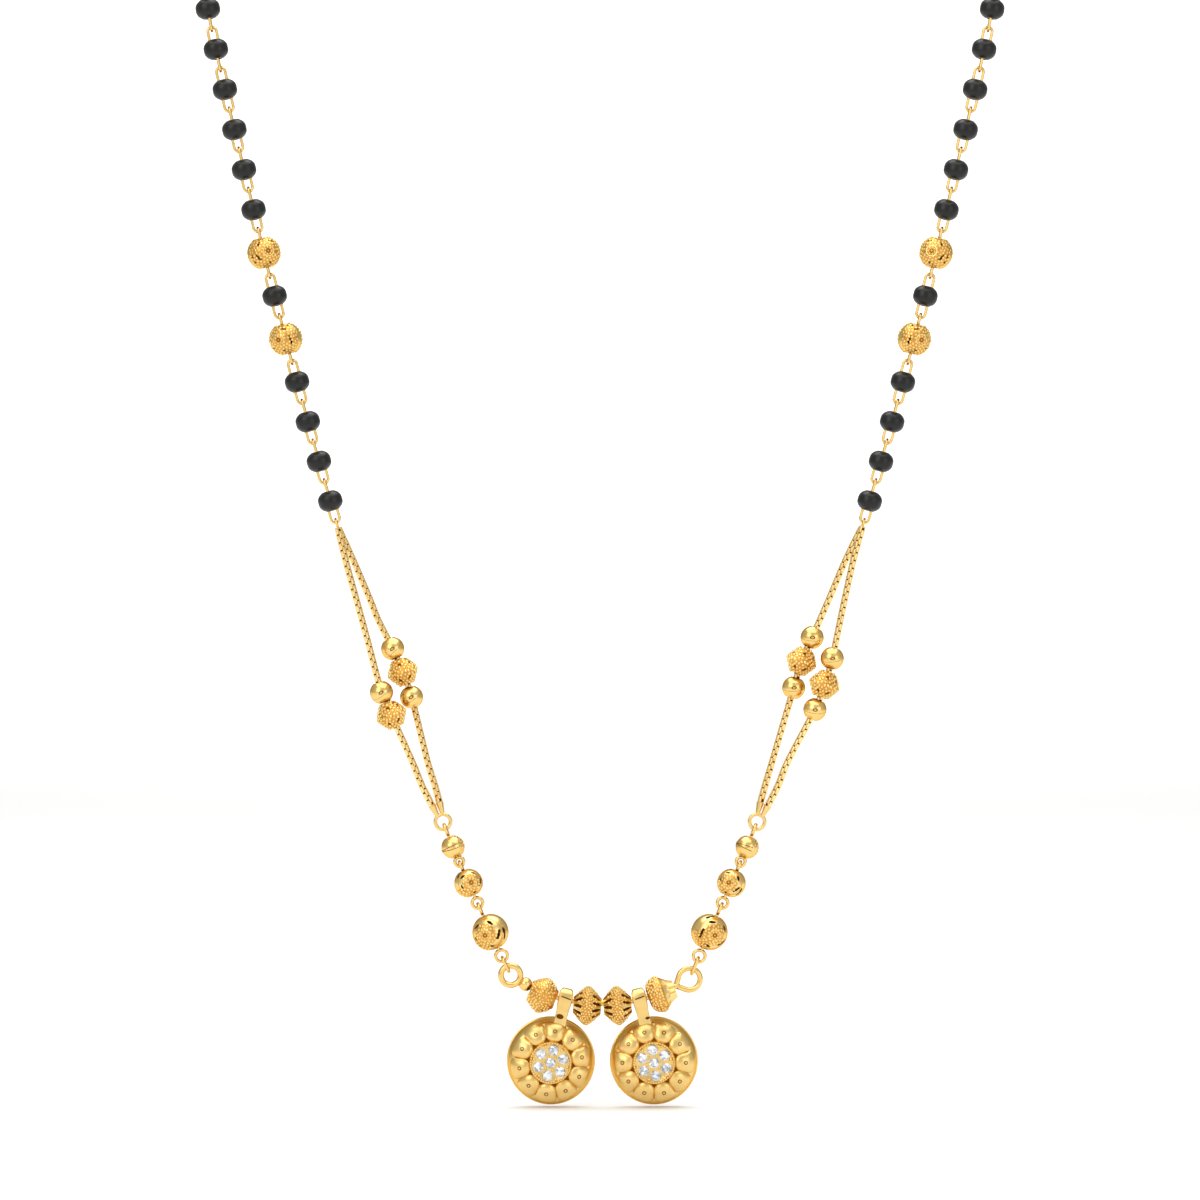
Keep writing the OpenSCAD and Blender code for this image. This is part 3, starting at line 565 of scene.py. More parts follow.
def in_slit(place, slack=0.0):
    """Whether a place on a ball is cut away, or within some degrees of slack from a slit."""
    around = around_of(place) % 360
    sector = int(around / SECTOR)
    column = around % SECTOR - (SLIT_MIDDLE_FRONT if place.z > 0 else SLIT_MIDDLE_BACK)
    reach = SLIT_SHORT + SLIT_LONGER_BY * (sector % 2) + slack
    if abs(column) > reach:
        return False
    narrowing = (1 - (column / reach) ** 2) ** 0.3
    return any(sector in sectors and abs(polar_of(place) - polar - lean * column) < wide * narrowing + slack
               for polar, wide, lean, sectors in SLIT_RINGS)


def rosette(name, radius, end):
    """The engraved circle and the rosette on a ball's front (end 1) or back (end -1)."""
    pieces = []
    # The engraved circle is painted half shade, the ring and the petals are painted lit and the eye is
    # painted deep shade
    for spread, wire, finish in ((CIRCLE_SHARE * radius, CIRCLE_WIRE, PAINTED_HALF_SHADE),
                                 (ROSETTE_RING, ROSETTE_RING_WIRE, PAINTED_LIT_GOLD),
                                 (ROSETTE_EYE, ROSETTE_EYE_WIRE, PAINTED_DEEP_SHADE)):
        lift = math.sqrt(radius ** 2 - spread ** 2)
        ring = bench("torus", name + "_rosette", major_radius=spread, minor_radius=wire,
                     major_segments=48, minor_segments=6, location=(0, 0, end * lift))
        dress(ring, finish)
        pieces.append(ring)
    petal = bench("uv_sphere", name + "_seed", segments=8, ring_count=6, radius=PETAL_SEED_R)
    lift = math.sqrt(radius ** 2 - PETAL_SPREAD ** 2) - PETAL_SINK
    put(petal, Matrix.Translation((PETAL_SPREAD, 0, end * lift)))
    array_round(petal, ROSETTE_PETALS)
    dress(petal, PAINTED_LIT_GOLD)
    return pieces + [petal]


def pierced_ball(name, radius, bore_r, seeded):
    """A ball with grains where seeded() says. On the bench its front is +Z, and its wire runs along X."""
    shell = bench("uv_sphere", name, segments=90, ring_count=48, radius=radius)
    delete_faces(shell, lambda place, normal: in_slit(place) or place.yz.length < bore_r)
    soften_holes(shell)
    seeds = grains_on(shell, SEED_SPACING, SEED_R,
                      lambda place, normal: SEEDS_FROM < polar_of(place) < SEEDS_TO and seeded(place)
                      and not in_slit(place, SEEDS_OFF_SLITS))
    put(seeds, Matrix.Scale((radius - SEED_SINK) / radius, 4))
    apply(shell, "SOLIDIFY", thickness=SHELL_WALL, offset=-1)
    # The shell is painted lit, its ground among the grains painted half shade, and the tube inside painted
    # deep shade
    dress(shell, PAINTED_LIT_GOLD)
    dress_faces(shell, PAINTED_HALF_SHADE, lambda place, normal: seeded(place))
    dress(seeds, PAINTED_LIT_GOLD)
    inner_r = radius - TUBE_DEPTH
    tube = shade_tube_inside(name + "_tube", [(0.7 * inner_r, -0.7 * inner_r), (inner_r, -0.3 * inner_r),
                                        (inner_r, 0.3 * inner_r), (0.7 * inner_r, 0.7 * inner_r)], bore_r)
    put(tube, Matrix.Rotation(math.radians(90), 4, "Y"))
    return join(name, [shell, seeds, tube] + rosette(name, radius, 1) + rosette(name, radius, -1))


# Turns the bench's front to the viewer and lays the bench's X along the wire
BALL_FACE = Matrix(((0, -1, 0, 0), (0, 0, -1, 0), (1, 0, 0, 0), (0, 0, 0, 1)))


def rolled(degrees):
    """A turn of a ball round its wire, which brings its rosette up or down."""
    return Matrix.Rotation(math.radians(degrees), 4, "X")


STRING_BALL_R, STRING_BALL_BORE_R = 2.05, 0.86
STRING_BALL_ROLLS = (24, -20)
ball = pierced_ball("string_ball", STRING_BALL_R, STRING_BALL_BORE_R, lambda place: polar_of(place) < 80)
for side, sign in SIDES.items():
    balls = [put(copy_of(ball, f"ball_{k}"), side_of(UNITS[k] @ BALL_FACE @ rolled(roll), sign))
             for k, roll in zip(BALL_UNITS, STRING_BALL_ROLLS)]
    balls = join(f"pierced_balls_{side}", balls)
    smooth(balls)
    settle(balls, None, "satin_gold", "necklace", f"jali_balls_{side}")
bpy.data.objects.remove(ball)


def in_seeded_patch(place):
    """A drop ball has grains near its rosette and on one flank, and is smooth elsewhere."""
    return polar_of(place) < 37 or (polar_of(place) < 76 and 100 < around_of(place) < 170)


# The drops' balls and the ring above them: how far across and up each one is, and the balls' diameters
DROP_BALLS = {"large": ((13.69, -157.5), 4.55),
              "medium": ((16.43, -151.38), 3.58),
              "small": ((18.38, -146.88), 2.88)}
DROP_BALL_BORE_R = 0.62
DROP_BALL_ROLLS = {"large": 18, "medium": -14}
STRAND_RING_AT = (19.63, -143.73)
STRAND_RING_R = 0.95


def in_front(at, sign):
    """A place in the plane of the drops, on the left if sign is -1."""
    return Vector((sign * at[0], FRONT, at[1]))


def drop_place(size, sign):
    """The place of one of a side's three balls, its Z towards the next piece above."""
    upper = {"large": DROP_BALLS["medium"][0],
             "medium": DROP_BALLS["small"][0],
             "small": STRAND_RING_AT}[size]
    here = in_front(DROP_BALLS[size][0], sign)
    return stand(here, in_front(upper, sign) - here)


for size, roll in DROP_BALL_ROLLS.items():
    ball = pierced_ball(f"drop_ball_{size}", DROP_BALLS[size][1] / 2, DROP_BALL_BORE_R, in_seeded_patch)
    for side, sign in SIDES.items():
        here = drop_place(size, sign) @ BALL_FACE @ rolled(sign * roll)
        drop = put(copy_of(ball, f"pierced_ball_{size}_{side}"), here)
        smooth(drop)
        settle(drop, None, "satin_gold", "necklace", f"ball_{size}_{side}")
    bpy.data.objects.remove(ball)


# The small balls are grained on one half and have two engraved lines on the other

SMALL_R = DROP_BALLS["small"][1] / 2
FROST_SPACING, FROST_R, FROST_SINK = 0.34, 0.19, 0.11
SMALL_LINE_TILTS = (-9, 9)
SMALL_LINE_WIRE = 0.045
MARKS_TURN = Matrix.Rotation(math.radians(20), 4, "Z")


def small_ball_marks():
    """The grains and the two lines of a small ball, whose own solid is shown under them."""
    whole = bench("uv_sphere", "small_ball", segments=32, ring_count=16, radius=SMALL_R)
    frost = grains_on(whole, FROST_SPACING, FROST_R,
                      lambda place, normal: place.x > 0.25 and abs(place.z) < 0.9 * SMALL_R)
    bpy.data.objects.remove(whole)
    put(frost, Matrix.Scale((SMALL_R - FROST_SINK) / SMALL_R, 4))
    # The grains are painted lit and the engraved lines painted deep shade
    dress(frost, PAINTED_LIT_GOLD)
    marks = [frost]
    for tilt in SMALL_LINE_TILTS:
        line = bench("torus", "engraved_line", major_radius=SMALL_R, minor_radius=SMALL_LINE_WIRE,
                     major_segments=48, minor_segments=6)
        delete_faces(line, lambda place, normal: place.x > 0.2)
        choose_open_edges(line)
        bpy.ops.mesh.edge_face_add()
        done()
        put(line, Matrix.Rotation(math.radians(tilt), 4, "X"))
        dress(line, PAINTED_DEEP_SHADE)
        marks.append(line)
    return marks


for side, sign in SIDES.items():
    marks = join(f"small_ball_marks_{side}", small_ball_marks())
    put(marks, drop_place("small", sign) @ MARKS_TURN)
    smooth(marks)
    settle(marks, None, "satin_gold", "necklace")


# Beads turned as double cones

def cone_side(end_r, belly_r, length, bend, steps):
    """Rings from an end to the belly: a bend under 1 swells the side and over 1 hollows it."""
    return [(end_r + (belly_r - end_r) * (1 - (1 - k / steps) ** (1 / bend)), length * k / steps)
            for k in range(steps + 1)]


def double_cone(low_r, belly_r, high_r, low_len, high_len, bend, steps=7):
    """Rings of a double cone from its low end over its belly to its high end."""
    low = [(r, z - low_len) for r, z in cone_side(low_r, belly_r, low_len, bend, steps)]
    high = [(r, high_len - z) for r, z in cone_side(high_r, belly_r, high_len, bend, steps)]
    return low + high[-2::-1]


INNER_BEAD_HALF = 1.8
INNER_BEAD_AT = 1.895
INNER_BEAD_WALL = 0.28
# The spacing and radius of its grains, and how far they are drawn in to sit in the shell
INNER_GRAINS = (0.33, 0.2)
INNER_GRAINS_DRAWN_IN = 0.97
# The drop-shaped openings: degrees from one to the next, the share of the half length at which they end
# and the share that they take, and their half width in degrees
DROP_PITCH = 30
DROP_END, DROP_LONG = 0.93, 0.58
DROP_HALF_W = 9.5


def in_drop(place, slack=0.0):
    """Whether a place on a pierced bead is cut away, or within some degrees of slack from an opening."""
    along = (DROP_END - abs(place.z) / INNER_BEAD_HALF) / DROP_LONG
    column = (around_of(place) + (0 if place.z > 0 else DROP_PITCH / 2)) % DROP_PITCH
    if not 0 < along < 1:
        return False
    return abs(column - DROP_PITCH / 2) < DROP_HALF_W * math.sqrt(along * (1 - along ** 3)) + slack


def pierced_bead():
    """A double cone with twelve drop-shaped openings between fine ribs at each end, and a grained belly."""
    half = INNER_BEAD_HALF
    shell = turned("pierced_bead", double_cone(0.95, 2.42, 0.95, half, half, 0.82, 16), 120)
    delete_faces(shell, lambda place, normal: in_drop(place))
    soften_holes(shell)
    grains = grains_on(shell, *INNER_GRAINS,
                       lambda place, normal: abs(place.z) < 0.6 * half and not in_drop(place, 3))
    put(grains, Matrix.Scale(INNER_GRAINS_DRAWN_IN, 4))
    apply(shell, "SOLIDIFY", thickness=INNER_BEAD_WALL, offset=-1)
    # The shell is painted half shade with its ends painted lit, the grains painted lit and the tube painted
    # deep shade
    dress(shell, PAINTED_HALF_SHADE)
    dress_faces(shell, PAINTED_LIT_GOLD, lambda place, normal: abs(place.z) > 0.4 * half)
    dress(grains, PAINTED_LIT_GOLD)
    tube = shade_tube_inside("pierced_bead_tube", double_cone(0.66, 1.85, 0.66, 1.66, 1.66, 0.86), 0.5)
    return join("pierced_bead", [shell, grains, tube])


bead = pierced_bead()
for side, sign in SIDES.items():
    here = put(copy_of(bead, f"bar_bead_inner_{side}"), on_bar(sign * INNER_BEAD_AT, BAR_R))
    smooth(here)
    settle(here, None, "satin_gold", "necklace", f"bead_inner_{side}")
bpy.data.objects.remove(bead)


# How far grains are drawn in, so that they sit in the ground of their bead
GRAINS_DRAWN_IN = 0.965


def grained_bead(name, rings, bore_r, spacing, grain_r, where, painted_pits=nowhere):
    """A drilled bead covered in low grains, painted lit over a ground in painted half shade, with small
    patches painted deep shade as pits where the grains leave room for them.
    """
    skin = turned(name + "_skin", rings, 40)
    grains = grains_on(skin, spacing, grain_r,
                       lambda place, normal: where(place, normal) and not painted_pits(place, normal))
    bpy.data.objects.remove(skin)
    put(grains, Matrix.Scale(GRAINS_DRAWN_IN, 4))
    low, high = rings[0][1], rings[-1][1]
    body = turned(name, [(bore_r, low)] + rings + [(bore_r, high)], 40, closed=True)
    dress(body, PAINTED_HALF_SHADE)
    dress(grains, PAINTED_LIT_GOLD)
    dress_faces(body, PAINTED_DEEP_SHADE, lambda place, normal: place.xy.length > bore_r + 0.1 and painted_pits(place, normal))
    return join(name, [body, grains])


# The outer beads of the bar: where along it they are, how far the right one hangs below the wire's middle,
# and the spacing and radius of their grains
OUTER_LEFT_AT, OUTER_RIGHT_AT = -7.595, 7.365
OUTER_RIGHT_SAG = 0.12
BAR_GRAINS = (0.34, 0.21)

rings = [(1.18, -1.72), (1.4, -1.46), (1.7, -1.06), (2.0, -0.6), (2.2, -0.15), (2.2, 0.1), (2.06, 0.45),
         (1.8, 0.85), (1.5, 1.22), (1.26, 1.52), (1.14, 1.68)]
bead = grained_bead("bar_bead_outer_left", rings, 0.96, *BAR_GRAINS, lambda place, normal: place.z < 1.3)
put(bead, on_bar(OUTER_LEFT_AT, BAR_R))
smooth(bead)
settle(bead, None, "satin_gold", "necklace", "bead_outer_left")

rings = [(1.1, -1.45), (1.5, -1.25), (1.86, -0.95), (2.12, -0.55), (2.26, -0.15), (2.26, 0.1), (2.12, 0.4),
         (1.88, 0.7), (1.64, 1.0), (1.42, 1.32), (1.24, 1.68), (1.08, 2.05)]
bead = grained_bead("bar_bead_outer_right", rings, 0.7, *BAR_GRAINS,
                    lambda place, normal: -1.25 < place.z < 0.55)
# The neck's flutes: one column of corners in four is drawn in
choose(bead, lambda place, normal: place.z > 0.9 and place.xy.length > 1.0
       and round(around_of(place) / 9) % 4 == 0, "VERT")
bpy.ops.transform.resize(value=(0.84, 0.84, 1), center_override=(0, 0, 0))
done()
# The neck is painted lit against the painted half shade of the body
dress_faces(bead, PAINTED_LIT_GOLD, lambda place, normal: place.z > 0.75)
put(bead, on_bar(OUTER_RIGHT_AT, WIRE_ARC_R + OUTER_RIGHT_SAG))
smooth(bead, 40)
settle(bead, None, "satin_gold", "necklace", "bead_outer_right")


# Strands: box chains with plain and granulated beads

# Each strand's route from top to bottom: across, depth from the plane of the drops, and up
ROUTES = {
    "outer_left": [(-31.78, -0.6, -111), (-30.4, -0.7, -116), (-29.03, -0.7, -121), (-27.28, -0.7, -127.54),
                   (-26.06, -0.7, -130.36), (-23.53, -0.5, -136), (-22.22, -0.5, -139.2)],
    "inner_left": [(-30.88, 0.6, -111), (-28.75, 0.7, -116), (-27.75, 0.7, -118.5),
                   (-25.94, 0.7, -122.09), (-24.69, 0.7, -125), (-23.58, 0.7, -128.16),
                   (-21.63, 0.5, -136), (-20.66, 0.5, -139.2)],
    "outer_right": [(31.65, -0.6, -111), (30.53, -0.7, -116), (28.99, -0.7, -123.29), (28.03, -0.7, -126.56),
                    (26.83, -0.7, -129.68), (23.53, -0.5, -136), (22.22, -0.5, -139.2)],
    "inner_right": [(30.73, 0.6, -111), (28.6, 0.7, -116), (26.54, 0.7, -120.69), (25.21, 0.7, -123.66),
                    (24.24, 0.7, -126.98), (21.6, 0.5, -136), (20.66, 0.5, -139.2)]}
# The caps on the strand ring: their length, how far a chain reaches into one, and their angles from the
# ring's top
CAP_LEN = 1.5
CHAIN_IN_CAP = 0.25
CAP_ANGLES = {"outer": 44, "inner": 2}
# The joint ring's middle below the string's end, and the chains' tops below that, in front of it and behind
JOINT_RING_DROP = 0.29
CHAIN_TOP_DROP = 0.36
CHAIN_TOP_DEPTHS = {"outer": -0.5, "inner": 0.5}
# A link of the box chain: its width, depth and height, the width of its bars, and one link to the next
LINK_SIZE = (0.46, 0.84, 0.86)
LINK_BAR = 0.2
LINK_PITCH = 0.5


def route_points(strand):
    """The points that a strand is led through."""
    return [Vector((x, FRONT + depth, z)) for x, depth, z in ROUTES[strand]]


def route_of(strand):
    """A strand's whole route, from under its joint ring to its cap on the strand ring."""
    kind, side = strand.split("_")
    sign = SIDES[side]
    points = route_points(strand)
    way = UNITS[0].to_3x3() @ Vector((0, 0, 1))
    way.x *= sign
    start = Vector(STRING_ROUTE[0])
    start.x *= sign
    joint_ring = start - JOINT_RING_DROP * way
    top = joint_ring - CHAIN_TOP_DROP * way + Vector((0, CHAIN_TOP_DEPTHS[kind], 0))
    angle = math.radians(CAP_ANGLES[kind])
    towards_cap = Vector((sign * math.sin(angle), 0, math.cos(angle)))
    foot = in_front(STRAND_RING_AT, sign) + STRAND_RING_R * towards_cap
    end = foot + (CAP_LEN - CHAIN_IN_CAP) * (points[-1] - foot).normalized()
    return [top] + points + [end]


def box_link():
    """One square link of a box chain, standing in the plane of Y and Z."""
    link = bench("cube", "box_link", size=1)
    choose(link, everywhere)
    bpy.ops.transform.resize(value=LINK_SIZE)
    done()
    choose(link, lambda place, normal: abs(normal.x) > 0.9)
    bpy.ops.mesh.inset(thickness=LINK_BAR)
    bpy.ops.mesh.bridge_edge_loops()
    done()
    apply(link, "BEVEL", width=0.08, segments=2, limit_method="ANGLE")
    dress(link, CHAIN)
    # The faces inside the link are painted deep shade
    dress_faces(link, PAINTED_DEEP_SHADE, lambda place, normal: place.dot(normal) < 0)
    return link


link = box_link()
for strand in ROUTES:
    path = curve_through(route_of(strand))
    lengths = [0.0]
    for a, b in zip(path, path[1:]):
        lengths.append(lengths[-1] + (b - a).length)
    count = int((lengths[-1] - LINK_SIZE[2]) / LINK_PITCH) + 1
    first = (lengths[-1] - (count - 1) * LINK_PITCH) / 2
    places = []
    ways = []
    for k in range(count):
        along = first + k * LINK_PITCH
        i = next(j for j in range(1, len(path)) if lengths[j] >= along or j == len(path) - 1)
        way = (path[i] - path[i - 1]).normalized()
        places.append(path[i - 1] + (along - lengths[i - 1]) * way)
        ways.append(way)
    links = []
    for k, (place, way, normal) in enumerate(zip(places, ways, carried(ways))):
        turn = Matrix.Rotation(math.radians(45 + 90 * k), 4, "Z")
        links.append(put(copy_of(link, f"link_{k}"), stand(place, way, normal) @ turn))
    chain = join(f"box_chain_{strand}", links)
    smooth(chain, 20)
    settle(chain, None, "polished_gold", "necklace", f"chain_{strand}")
bpy.data.objects.remove(link)


def on_chain(strand, index):
    """The place of a bead at one of its strand's route points, with Z up the chain and Y to the back."""
    points = route_points(strand)
    way = (points[index - 1] - points[index + 1]).normalized()
    return stand(points[index], way, (Vector((0, 1, 0)) - way.y * way).normalized())


# Which of its strand's route points each bead is at
GRAINED_BEADS = (("outer_left", 4), ("inner_left", 4), ("outer_right", 3), ("inner_right", 3))
PLAIN_BEADS = (("outer_left", 3), ("inner_left", 3), ("inner_left", 5),
               ("outer_right", 2), ("outer_right", 4), ("inner_right", 2), ("inner_right", 4))
PAINTED_PIT_PITCH = 60


def in_painted_pit(place, normal):
    """Whether a place on a strand's granulated bead is in one of the six small pits at each end, which are
    painted deep shade, not cut.
    """
    around = (around_of(place) + (0 if place.z > 0 else PAINTED_PIT_PITCH / 2)) % PAINTED_PIT_PITCH
    return 0.75 < abs(place.z) < 1.2 and abs(around - PAINTED_PIT_PITCH / 2) < 10


bead = grained_bead("strand_bead", double_cone(0.86, 1.88, 0.86, 1.6, 1.6, 0.84), 0.68, 0.37, 0.23,
                    lambda place, normal: abs(place.z) < 1.5, in_painted_pit)
for strand, index in GRAINED_BEADS:
    kind, side = strand.split("_")
    here = put(copy_of(bead, f"granulated_bead_{strand}"), on_chain(strand, index))
    smooth(here)
    settle(here, None, "satin_gold", "necklace", f"{kind}_grain_{side}")
bpy.data.objects.remove(bead)

# The plain beads' own solids are shown, with an oval eye and a fine line engraved on each, painted deep shade
PLAIN_R = 1.44
marks = []
for strand, index in PLAIN_BEADS:
    eye = bench("torus", "ring_mark", major_radius=0.2, minor_radius=0.06,
                major_segments=16, minor_segments=6, location=(0, 0, PLAIN_R))
    put(eye, Matrix.Diagonal((0.8, 1.3, 1, 1)))
    line = bench("torus", "engraved_line", major_radius=PLAIN_R, minor_radius=0.03,
                 major_segments=48, minor_segments=5)
    put(line, Matrix.Rotation(math.radians(72), 4, "Y"))
    mark = join("plain_bead_mark", [eye, line])
    marks.append(put(mark, on_chain(strand, index) @ BALL_FACE @ MARKS_TURN))
marks = join("plain_bead_marks", marks)
smooth(marks)
settle(marks, PAINTED_DEEP_SHADE, "satin_gold", "necklace")


# Vati cups

# The cone that the petals lie on runs down from the plate's edge: its slope and its height there
PLATE_R = 2.55
CONE_SLOPE = 23
CONE_TOP = 3.75
# Petals: their count, turn from the bail, distance from the middle and height, and half sizes
PETALS = 10
PETAL_TURN = 5
PETAL_AT = (3.8, 3.07)
PETAL_LONG, PETAL_HALF_W, PETAL_TALL = 1.4, 1.29, 0.68
PETAL_WIDENING = 0.85
RING_MARK_AT = -0.1


def cone_height(r):
    """Height of the cup's cone behind the petals."""
    return CONE_TOP - (r - PLATE_R) * math.tan(math.radians(CONE_SLOPE))


def widening(u):
    """How much wider a petal is at a share u of its way to the rim than the oval it starts from."""
    return (1 + PETAL_WIDENING * u * PETAL_LONG / PETAL_AT[0]) * math.sqrt((1 - u ** 3) / (1 - u ** 2))


def round_petals():
    """Ten swelling petals: round towards the plate, wider towards the rim, with a ring mark on each."""
    steps = 24
    petal = bench("uv_sphere", "petal", segments=36, ring_count=steps, radius=1,
                  rotation=(0, math.radians(90), 0))
    put(petal, Matrix.Diagonal((PETAL_LONG, PETAL_HALF_W, PETAL_TALL, 1)))
    for k in range(1, steps):
        u = math.cos(math.pi * k / steps)
        if u > 0.01:
            choose(petal, lambda place, normal: abs(place.x - u * PETAL_LONG) < 0.005, "VERT")
            bpy.ops.transform.resize(value=(1, widening(u), 1), center_override=(0, 0, 0))
            done()
    choose(petal, everywhere)
    bpy.ops.mesh.bisect(plane_co=(0, 0, -0.1), plane_no=(0, 0, 1), use_fill=True, clear_inner=True)
    done()
    dress(petal, SHEET)
    # The ring mark is painted deep shade round a dot painted lit
    ring = bench("torus", "ring_mark", major_radius=0.21, minor_radius=0.055,
                 major_segments=18, minor_segments=6, location=(RING_MARK_AT, 0, PETAL_TALL - 0.01))
    put(ring, Matrix.Identity(4))
    dress(ring, PAINTED_DEEP_SHADE)
    dot = bench("uv_sphere", "ring_dot", segments=10, ring_count=6, radius=0.13,
                location=(RING_MARK_AT, 0, PETAL_TALL - 0.04))
    put(dot, Matrix.Identity(4))
    dress(dot, PAINTED_LIT_GOLD)
    petal = join("petal", [petal, ring, dot])
    on_cone = Matrix.Rotation(math.radians(CONE_SLOPE), 4, "Y")
    put(petal, Matrix.Translation((PETAL_AT[0], 0, PETAL_AT[1])) @ on_cone)
    array_round(petal, PETALS)
    return put(petal, Matrix.Rotation(math.radians(90 + PETAL_TURN), 4, "Z"))


# The cup's side as rings of (radius, height): the flat plate with its raised edge, the cone that the
# petals lie on, and the steep side down to the rolled rim
PLATE_RINGS = [(0.3, 4.02), (1.3, 4.02), (2.3, 4.02), (2.38, 4.08), (2.44, 4.16), (2.56, 4.16), (2.63, 4.05),
               (2.66, 3.9)]
CONE_RINGS = [(r, cone_height(r)) for r in (2.68, 3.2, 3.8, 4.3)] + [(4.55, 2.98)]
WALL_RINGS = [(4.76, 2.9), (4.94, 2.76), (5.08, 2.56), (5.2, 2.28), (5.3, 1.93), (5.37, 1.5), (5.4, 1.0),
              (5.41, 0.5), (5.41, 0.32), (5.5, 0.28), (5.54, 0.18), (5.54, 0.1), (5.5, 0.02), (5.38, 0.0)]
CUP_WALL = 0.3
# Grains in circles: count, radius of a grain, distance from the middle, and height
PLATE_GRAINS = (48, 0.15, 2.49, 4.13)
RIM_GRAINS = (150, 0.1, 5.45, 0.2)
# Prongs that hold the stones, six of each kind: distance from the middle, angle, and radius
PRONGS = ((0.93, 30, 0.17), (2.12, 30, 0.21), (2.3, 17, 0.14), (2.3, 43, 0.14))
PRONG_HEIGHT = 4.08


def grain_circle(name, count, grain_r, spread, height):
    """A circle of grains soldered side by side round the cup."""
    grain = bench("uv_sphere", name, segments=7, ring_count=5, radius=grain_r)
    put(grain, Matrix.Translation((spread, 0, height)))
    array_round(grain, count)
    return grain


def vati_cup():
    """The cup with its front towards +Z: plate, ten swelling petals, steep side and thin rim."""
    cup = turned("vati_cup", PLATE_RINGS + CONE_RINGS + WALL_RINGS, 96)
    choose(cup, lambda place, way: place.xy.length < PLATE_RINGS[0][0] + 0.01, "EDGE")
    bpy.ops.mesh.edge_face_add()
    bpy.ops.mesh.select_all(action="SELECT")
    bpy.ops.mesh.normals_make_consistent(inside=False)
    done()
    apply(cup, "SOLIDIFY", thickness=CUP_WALL, offset=-1)
    dress(cup, SHEET)
    # The band of cone that shows between the petals at the plate's edge is painted deep shade
    dress_faces(cup, PAINTED_DEEP_SHADE, lambda place, normal: 2.67 < place.xy.length < 3.2 and normal.z > 0.5)
    grains = [grain_circle("plate_grain", *PLATE_GRAINS)]
    for spread, angle, prong_r in PRONGS:
        prong = bench("uv_sphere", "stone_prong", segments=8, ring_count=6, radius=prong_r)
        turn = Matrix.Rotation(math.radians(angle), 4, "Z")
        put(prong, turn @ Matrix.Translation((spread, 0, PRONG_HEIGHT)))
        array_round(prong, 6)
        grains.append(put(prong, Matrix.Rotation(math.radians(90), 4, "Z")))
    grains = join("vati_grains", grains + [grain_circle("rim_grain", *RIM_GRAINS)])
    # The grains and prongs are painted lit
    dress(grains, PAINTED_LIT_GOLD)
    return join("vati_cup", [cup, round_petals(), grains])


BAIL_W, BAIL_WALL = 1.76, 0.52
# Middle of the bend over the wire, and where the strap's end starts behind the cup: depth and height
BAIL_TOP = 0.3
BAIL_START = (0.3, -3.9)
# The strap's way up to the bend, as steps of (up, back)
BAIL_RISE = ((0.9, 0), (0.6, 0), (0.6, 0), (0.3, 0.09), (0.3, 0.15), (0.3, 0.15), (0.3, 0.09), (0.6, 0.03),
             (0.3, 0))
# The strap's width at each height, as a share: from, to and width
BAIL_WIDTHS = ((-4.0, -3.8, 0.9), (-3.1, -2.9, 0.9), (-2.5, -2.3, 0.86), (-1.9, -1.7, 0.86),
               (-1.55, -1.45, 0.88), (-1.25, -1.15, 0.91), (-0.95, -0.85, 0.95), (-0.65, -0.55, 0.98),
               (0.75, 0.99, 0.97), (0.99, 1.2, 0.87), (1.2, 1.5, 0.7))
# The oval pit at each strap's foot: across, up, and half its height
BAIL_PITS = {"left": (-0.17, -2.25, 0.31), "right": (0.45, -2.5, 0.18)}
BAIL_LINE_TILT = 8


def strap_bail():
    """A strap bent over the wire, its two ends closed on each other down to the cup."""
    strap = bench("plane", "strap_bail", size=1)
    choose(strap, everywhere)
    bpy.ops.transform.resize(value=(BAIL_W, BAIL_WALL, 1))
    bpy.ops.transform.translate(value=(0, *BAIL_START))
    for up, back in BAIL_RISE:
        bpy.ops.mesh.extrude_region_move(TRANSFORM_OT_translate={"value": (0, back, up)})
    bpy.ops.mesh.spin(steps=12, angle=-math.pi, center=(0, 0, BAIL_TOP), axis=(1, 0, 0))
    for down, back in reversed(BAIL_RISE):
        bpy.ops.mesh.extrude_region_move(TRANSFORM_OT_translate={"value": (0, back, -down)})
    bpy.ops.mesh.select_all(action="SELECT")
    bpy.ops.mesh.normals_make_consistent(inside=False)
    done()
    for low, high, width in BAIL_WIDTHS:
        choose(strap, lambda place, normal: low < place.z < high, "VERT")
        bpy.ops.transform.resize(value=(width, 1, 1), center_override=(0, 0, 0))
        done()
    apply(strap, "BEVEL", width=0.15, segments=3, limit_method="ANGLE", angle_limit=math.radians(50))
    dress(strap, SHEET)
    return strap


def cut_marks(strap, side, sign):
    """Cuts the slanted line across the strap's front and the small oval pit at its foot."""
    line = bench("cube", "line_cutter", size=1)
    slant = Matrix.Rotation(math.radians(-BAIL_LINE_TILT * sign), 4, "Y")
    put(line, Matrix.Translation((0.08, -1.05, 0.22)) @ slant @ Matrix.Diagonal((1.25, 0.5, 0.15, 1)))
    x, z, size = BAIL_PITS[side]
    pit = bench("cylinder", "pit_cutter", vertices=24, radius=1, depth=1, rotation=(math.radians(90), 0, 0))
    put(pit, Matrix.Translation((x, -0.7, z)) @ Matrix.Diagonal((1.5 * size, 0.8, size, 1)))
    # The faces that the cutters leave take their painted deep shade
    for cutter in (line, pit):
        dress(cutter, PAINTED_DEEP_SHADE)
        apply(strap, "BOOLEAN", object=cutter, operation="DIFFERENCE", material_mode="TRANSFER")
        bpy.data.objects.remove(cutter)
    return strap


